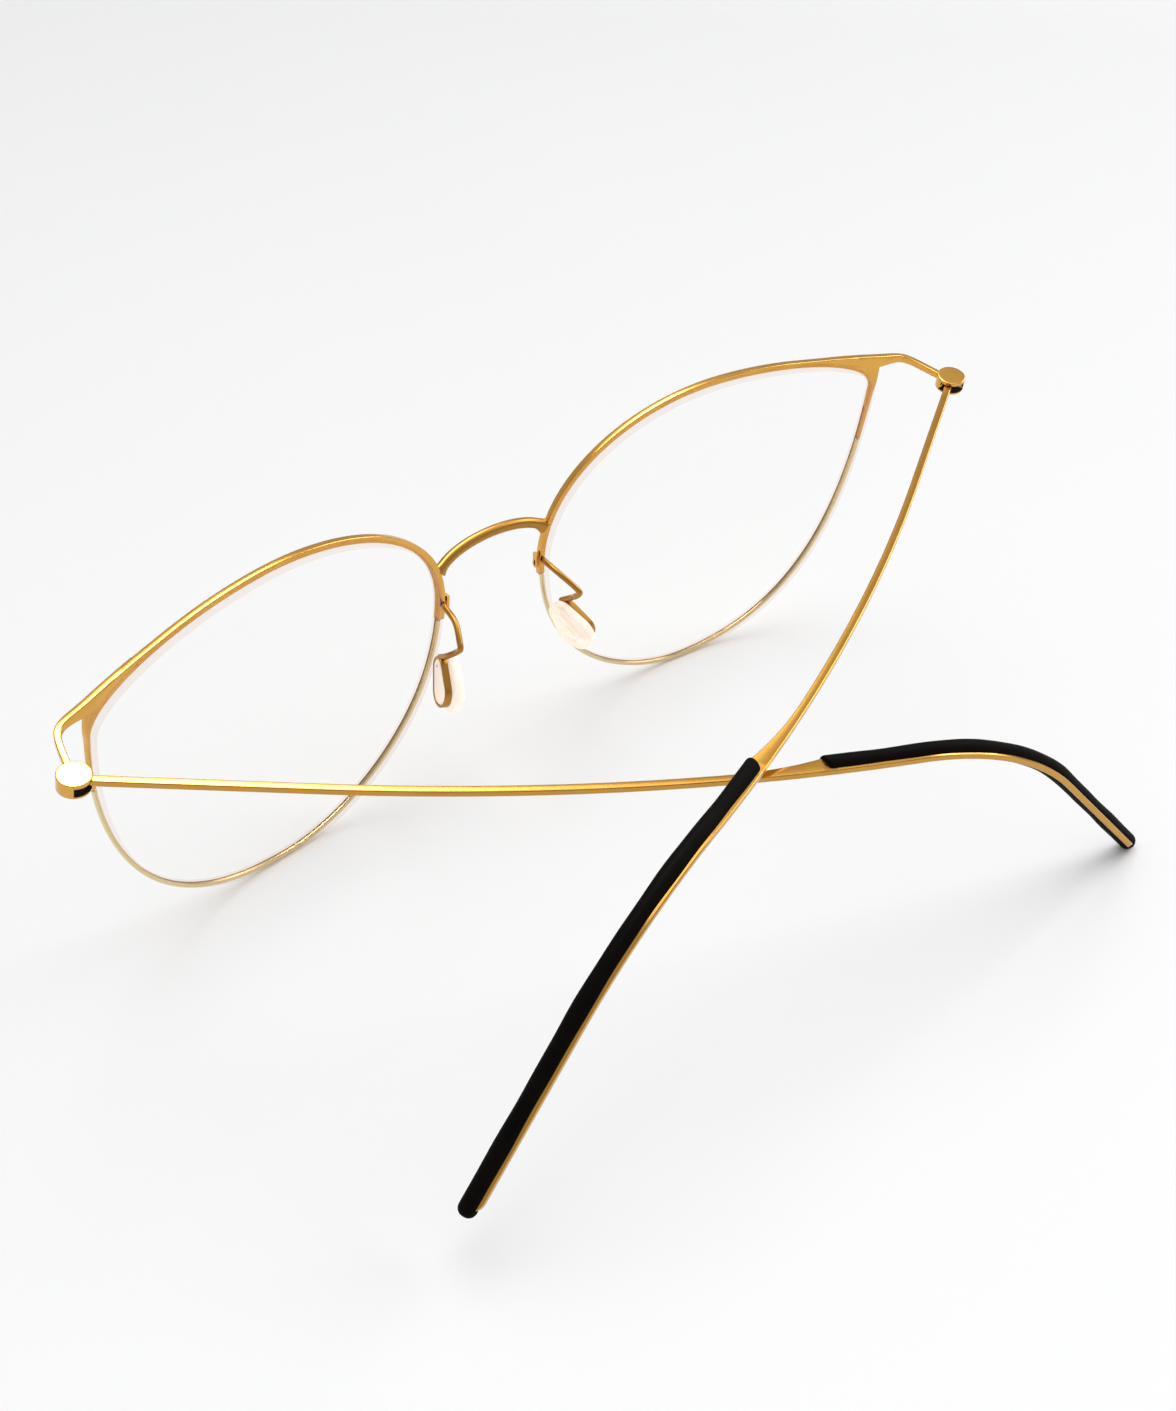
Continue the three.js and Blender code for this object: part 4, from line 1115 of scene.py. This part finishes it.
# Points of the grid that a temple's line is summed on, and rows along and points round each surface
LINE_STEPS = 6001
STRIP_ROWS, TAIL_ROWS, BUSHING_SIDES, LIP_ROWS, SLEEVE_ROWS = 520, 14, 64, 8, 300
SLEEVE_SIDES, POCKET_STEPS, DOME_ROWS, DOME_SIDES = 44, 6, 16, 48
# Run at which the strip starts in the hinge, and turn of the quarter circle that rounds its end
STRIP_START, STRIP_CLOSE = 0.8 * MM, 0.985 * math.pi / 2
# Rounding of the strip's edges, and the most of the half width that it takes
STRIP_EDGE, STRIP_EDGE_MOST = 0.14 * MM, 0.9
# Profile of the hinge eye: radii, and heights as shares of half the strip's thickness
BUSHING_RADII = np.array([0.55, 1.2, 1.27, 1.27, 1.2, 0.55])[:, None] * MM
BUSHING_SHARES = np.array([-1, -1, -0.85, 0.85, 1, 1])[:, None]
# Run of the rounding at the sleeve's mouth, its depth as a share, and the run of the mouth's slant
SLEEVE_LIP, LIP_ROUND, SLANT_RUN = 0.45 * MM, 0.7, 4 * MM
# Least wall of the sleeve behind the strip
SLEEVE_WALL = 0.12 * MM
# Two wavelengths of the sleeve's unevenness, the share of the second, and the run of its fade
WAVE_LONG, WAVE_SHORT, WAVE_SHARE, WAVE_FADE = 19 * MM, 8.3 * MM, 0.6, 8 * MM
# How far the sleeve's rounded tip starts inside it, and the turn and power of the tip's profile
DOME_SUNK, DOME_CLOSE, DOME_POWER = 0.3 * MM, 1.52, 0.8


def temple_line(name, runs):
    """The strip's middle line in the row frame with its along, outward and upward directions.
    Heading is the bowed run over the bow radius, pitch is the eased rise less the drop, and the
    line is the running sum of the directions on a fine grid."""
    size = temple_sizes()
    rise, fold = getattr(size, f"{name}_rise"), getattr(size, f"{name}_fold")
    fine = np.linspace(0, size.strip_length, LINE_STEPS)

    def directions(run):
        bow = np.clip(run - size.bow_start, 0, size.bow_end - size.bow_start) / size.bow_radius
        drop = np.clip((run - size.drop_start) / size.drop_radius, 0, size.drop_angle)
        pitch = rise * smooth((run - size.barrel_radius) / size.rise_run) - drop
        level = np.stack([-np.sin(bow), np.cos(bow), 0 * bow], -1) * np.cos(pitch)[..., None]
        along = level + np.stack([0 * bow, 0 * bow, np.sin(pitch)], -1)
        return along, np.stack([np.cos(bow), np.sin(bow), 0 * bow], -1)

    def placed(values, vectors=True):
        return to_row(hinge_to_front(values, fold, vectors), dict(SIDES)[name], vectors)

    middle = directions((fine[1:] + fine[:-1]) / 2)[0] * np.diff(fine)[:, None]
    line = np.concatenate([np.zeros((1, 3)), np.cumsum(middle, 0)]) - UP * size.strip_drop
    point = np.stack([np.interp(runs, fine, column) for column in line.T], -1)
    along, out = directions(runs)
    return placed(point, False), placed(along), placed(out), placed(np.cross(out, along))


def inner_edge(run):
    """Inner edge of the strip: straight, flared with the square of the run up to the sleeve, then
    drawn in."""
    size = temple_sizes()
    flare = np.clip((run - size.sleeve_start) / size.flare_run + 1, 0, 1) ** 2
    shank = smooth((run - size.sleeve_start) / size.shank_run)
    return -size.strip_width / 2 - size.flare * flare + size.shank_step * shank


class EYEGLASSES_OT_temples(bpy.types.Operator):
    """Make the temple strips with their hinge eyes."""

    bl_idname = "eyeglasses.temples"
    bl_label = "Temples"

    def execute(self, context):
        size = temple_sizes()
        end = size.strip_length - size.tip_cover
        straight = end - size.end_round
        tail = straight + size.end_round * np.sin(np.linspace(0, 1, TAIL_ROWS) * STRIP_CLOSE)
        runs = np.concatenate([np.linspace(STRIP_START, straight, STRIP_ROWS), tail[1:]])
        # Strip: a rounded rectangle between the two edges, carried along the temple's line, its half
        # width closed like a circle over the rounded end
        ended = np.clip((runs - end) / size.end_round + 1, 0, 1)
        outer, inner = size.strip_width / 2, inner_edge(runs)
        half = ((outer - inner) / 2 * np.sqrt(1 - ended**2))[:, None]
        middle = ((outer + inner) / 2)[:, None]
        thick = np.full((len(runs), 1), size.strip_thickness / 2)
        x, y = section(half, thick, np.minimum(STRIP_EDGE, half * STRIP_EDGE_MOST))
        # Hinge eye: a profile turned about the hinge's axis
        angle = circle(BUSHING_SIDES)
        high = BUSHING_SHARES * size.strip_thickness / 2 - size.strip_drop
        bushing = np.stack(np.broadcast_arrays(
            BUSHING_RADII * np.cos(angle), BUSHING_RADII * np.sin(angle), high), -1)
        for name, side in SIDES:
            point, _, out, over = temple_line(name, runs)
            strip = sweep(point, out, over, x + middle, y)
            eye = to_row(hinge_to_front(bushing, getattr(size, f"{name}_fold")), side)
            add_piece(f"{name}_strip", [(strip, False), (eye, True)], gold("temple gold painted shade"),
                      f"{name}_arm", [f"{name}_temple"])
        return {"FINISHED"}


class EYEGLASSES_OT_sleeves(bpy.types.Operator):
    """Make the slit silicone tip sleeves."""

    bl_idname = "eyeglasses.sleeves"
    bl_label = "Tip sleeves"

    def execute(self, context):
        size = temple_sizes()
        start, end = size.sleeve_start, size.strip_length - size.tip_cover
        mouth = start + SLEEVE_LIP * (1 - np.cos(np.linspace(0, 1, LIP_ROWS) * math.pi / 2))
        runs = np.concatenate([mouth, np.linspace(start + SLEEVE_LIP, end, SLEEVE_ROWS)[1:]])
        lead = np.clip((runs - start) / SLEEVE_LIP, 0, 1)
        fade = smooth((runs - start) / WAVE_FADE) * smooth((end - runs) / WAVE_FADE)
        turns = 2 * math.pi * runs
        wave = np.sin(turns / WAVE_LONG) + WAVE_SHARE * np.sin(turns / WAVE_SHORT)
        radius = (size.sleeve_radius - SLEEVE_LIP * LIP_ROUND * (1 - np.sqrt(1 - (1 - lead) ** 2))
                  + size.sleeve_wave * fade * wave)
        # Tube: a circle of that radius from one lip of the slit to the other, then back through the
        # pocket, carried along the temple's line and slanted at the mouth
        thick = size.strip_thickness / 2 + size.sleeve_gap
        inner = inner_edge(runs) + size.sleeve_inset - size.sleeve_gap
        opened = np.arcsin(thick / radius)
        angle = opened[:, None] + (2 * math.pi - 2 * opened[:, None]) * np.linspace(0, 1, SLEEVE_SIDES)
        x, y = radius[:, None] * np.cos(angle), radius[:, None] * np.sin(angle)
        u = np.linspace(0, 1, POCKET_STEPS)
        wall = np.maximum(inner, -radius + SLEEVE_WALL)[:, None]
        lip_x = (radius * np.cos(opened))[:, None]
        cheek = np.full((len(runs), POCKET_STEPS - 2), thick)
        x = np.concatenate([x, mix(lip_x, wall, u[1:-1]), wall + 0 * u, mix(wall, lip_x, u[1:-1])], 1)
        y = np.concatenate([y, -cheek, mix(-thick, thick, u) + 0 * wall, cheek], 1)
        slant = size.sleeve_slant * (1 - smooth((runs - start) / SLANT_RUN))[:, None]
        # Rounded tip: circles whose radius follows a power of the cosine over the last of the run
        dome_turn = np.linspace(0, 1, DOME_ROWS) * DOME_CLOSE
        dome_runs = np.concatenate([[end - DOME_SUNK], end + size.tip_cover * np.sin(dome_turn)])
        dome_r = size.sleeve_radius * np.concatenate([[1.0], np.cos(dome_turn) ** DOME_POWER])[:, None]
        full = circle(DOME_SIDES)
        for name, _ in SIDES:
            point, along, out, over = temple_line(name, runs)
            tube = sweep(point, out, over, x - size.sleeve_inset, y)
            tube = tube + along[:, None] * (slant * x)[..., None]
            point, _, out, over = temple_line(name, dome_runs)
            dome = sweep(point, out, over, dome_r * np.cos(full) - size.sleeve_inset,
                         dome_r * np.sin(full))
            add_piece(f"{name}_sleeve", [(tube, False), (dome, False)],
                      finish("sleeve silicone painted sheen", sleeve_sheen_finish),
                      f"{name}_arm", [f"{name}_tip_sleeve"])
        return {"FINISHED"}


# Stage

# Half side of the table top in metres, and the even light from all round
TABLE_HALF = 2.5
WORLD_COLOUR, WORLD_STRENGTH = (0.985, 0.99, 1.0, 1.0), 0.54
# Lamps: place, direction of the width, width, height and watts
LAMPS = {
    "key_box": ((-0.11, -0.57, 1.38), (0.924, 0.192, 0.331), 1.30, 0.40, 21.0),
    "top_box": ((-0.27, -0.36, 1.38), (1.0, 0.0, 0.0), 1.20, 1.20, 7.4),
    "window_box": ((-1.19, 0.16, 0.78), (0.0, 1.0, 0.0), 0.90, 0.70, 9.7),
}
# Size of the photograph's frame, focal length and place of the camera's axis, in pixels
PHOTO_WIDTH, PHOTO_HEIGHT = 1176, 1411
FOCAL, AXIS_X, AXIS_Y = 2256.17, 663.54, 654.30
# Width of the camera's sensor in millimetres, and its near limit in metres
SENSOR, CAMERA_NEAR = 36.0, 0.01
# Place and aim of the camera in the upright front's frame, and its roll in radians
CAMERA_PLACE = np.array([144.406, 180.195, 178.786]) * MM
CAMERA_AIM = np.array([-12.123, 20.0, -0.641]) * MM
CAMERA_ROLL = 0.083257


def posed(axes, place):
    """The pose of an object whose own axes lie along three directions, at a place."""
    pose = Matrix.Identity(4)
    for column, axis in enumerate(axes):
        pose.col[column][:3] = axis
    pose.translation = Vector(place)
    return pose


def softbox(name, place, along, width, tall, watts):
    """A rectangular lamp at a place, facing the object, its width along a direction."""
    lamp = bpy.data.lights.new(name, "AREA")
    lamp.shape = "RECTANGLE"
    lamp.size, lamp.size_y, lamp.energy = width, tall, watts
    holder = bpy.data.objects.new(name, lamp)
    away = Vector(place).normalized()
    wide = (Vector(along) - away * away.dot(along)).normalized()
    holder.matrix_world = posed((wide, away.cross(wide), away), place)
    bpy.context.scene.collection.objects.link(holder)
    return holder


class EYEGLASSES_OT_stage(bpy.types.Operator):
    """Make the table, the studio light and the camera."""

    bl_idname = "eyeglasses.stage"
    bl_label = "Stage"

    def execute(self, context):
        scene = context.scene
        side = np.array([-1.0, 1.0]) * TABLE_HALF
        x, y = np.meshgrid(side, side, indexing="ij")
        corners = np.stack([x.ravel(), y.ravel(), np.zeros(4)], 1)
        mesh = bpy.data.meshes.new("table_top")
        mesh.from_pydata(corners, [], [[0, 2, 3, 1]])
        mesh.materials.append(finish("table", table_painted_shade_finish))
        table = bpy.data.objects.new("table_top", mesh)
        scene.collection.objects.link(table)

        world = bpy.data.worlds.new("studio")
        world.use_nodes = True
        background = world.node_tree.nodes["Background"].inputs
        background["Color"].default_value = WORLD_COLOUR
        background["Strength"].default_value = WORLD_STRENGTH
        scene.world = world
        lamps = {name: softbox(name, *setting) for name, setting in LAMPS.items()}
        # The key lamp is seen only in reflections
        lamps["key_box"].visible_diffuse = False

        ahead = unit(CAMERA_AIM - CAMERA_PLACE)
        level = unit(np.cross(ahead, UP))
        above = np.cross(level, ahead)
        right = math.cos(CAMERA_ROLL) * level + math.sin(CAMERA_ROLL) * above
        up = math.cos(CAMERA_ROLL) * above - math.sin(CAMERA_ROLL) * level
        axes = [to_row(axis, vectors=True) for axis in (right, up, -ahead)]
        lens = bpy.data.cameras.new("photo_camera")
        lens.sensor_fit = "HORIZONTAL"
        lens.sensor_width = SENSOR
        lens.lens = FOCAL / PHOTO_WIDTH * SENSOR
        lens.shift_x = (PHOTO_WIDTH / 2 - AXIS_X) / PHOTO_WIDTH
        lens.shift_y = (AXIS_Y - PHOTO_HEIGHT / 2) / PHOTO_WIDTH
        lens.clip_start = CAMERA_NEAR
        camera = bpy.data.objects.new("photo_camera", lens)
        camera.matrix_world = posed(axes, to_row(CAMERA_PLACE))
        scene.collection.objects.link(camera)
        scene.camera = camera
        scene.view_settings.view_transform = "Standard"
        return {"FINISHED"}


class EYEGLASSES_PT_panel(bpy.types.Panel):
    """Sizes, colours and pieces of the eyeglasses."""

    bl_idname = "EYEGLASSES_PT_panel"
    bl_label = "Eyeglasses"
    bl_space_type = "VIEW_3D"
    bl_region_type = "UI"
    bl_category = "Eyeglasses"

    def draw(self, context):
        for operator in OPERATORS:
            self.layout.operator(operator.bl_idname)
        for group in (front_sizes(), temple_sizes(), pad_sizes(), colours()):
            box = self.layout.box()
            for name in group.__annotations__:
                box.prop(group, name)


GROUPS = {
    "eyeglasses_front": EYEGLASSES_PG_front,
    "eyeglasses_temples": EYEGLASSES_PG_temples,
    "eyeglasses_pads": EYEGLASSES_PG_pads,
    "eyeglasses_colours": EYEGLASSES_PG_colours,
}
OPERATORS = (
    EYEGLASSES_OT_upper_rims,
    EYEGLASSES_OT_lower_rims,
    EYEGLASSES_OT_lenses,
    EYEGLASSES_OT_bridge,
    EYEGLASSES_OT_nose_arms,
    EYEGLASSES_OT_nose_pads,
    EYEGLASSES_OT_hinges,
    EYEGLASSES_OT_small_pieces,
    EYEGLASSES_OT_temples,
    EYEGLASSES_OT_sleeves,
    EYEGLASSES_OT_stage,
)


def register():
    for made in (*GROUPS.values(), *OPERATORS, EYEGLASSES_PT_panel):
        bpy.utils.register_class(made)
    for name, group in GROUPS.items():
        setattr(bpy.types.Scene, name, PointerProperty(type=group))


def unregister():
    for name in GROUPS:
        delattr(bpy.types.Scene, name)
    for made in (EYEGLASSES_PT_panel, *reversed(OPERATORS), *reversed(GROUPS.values())):
        bpy.utils.unregister_class(made)


def main():
    register()
    for operator in OPERATORS:
        family, name = operator.bl_idname.split(".")
        getattr(getattr(bpy.ops, family), name)()


if __name__ == "__main__":
    main()
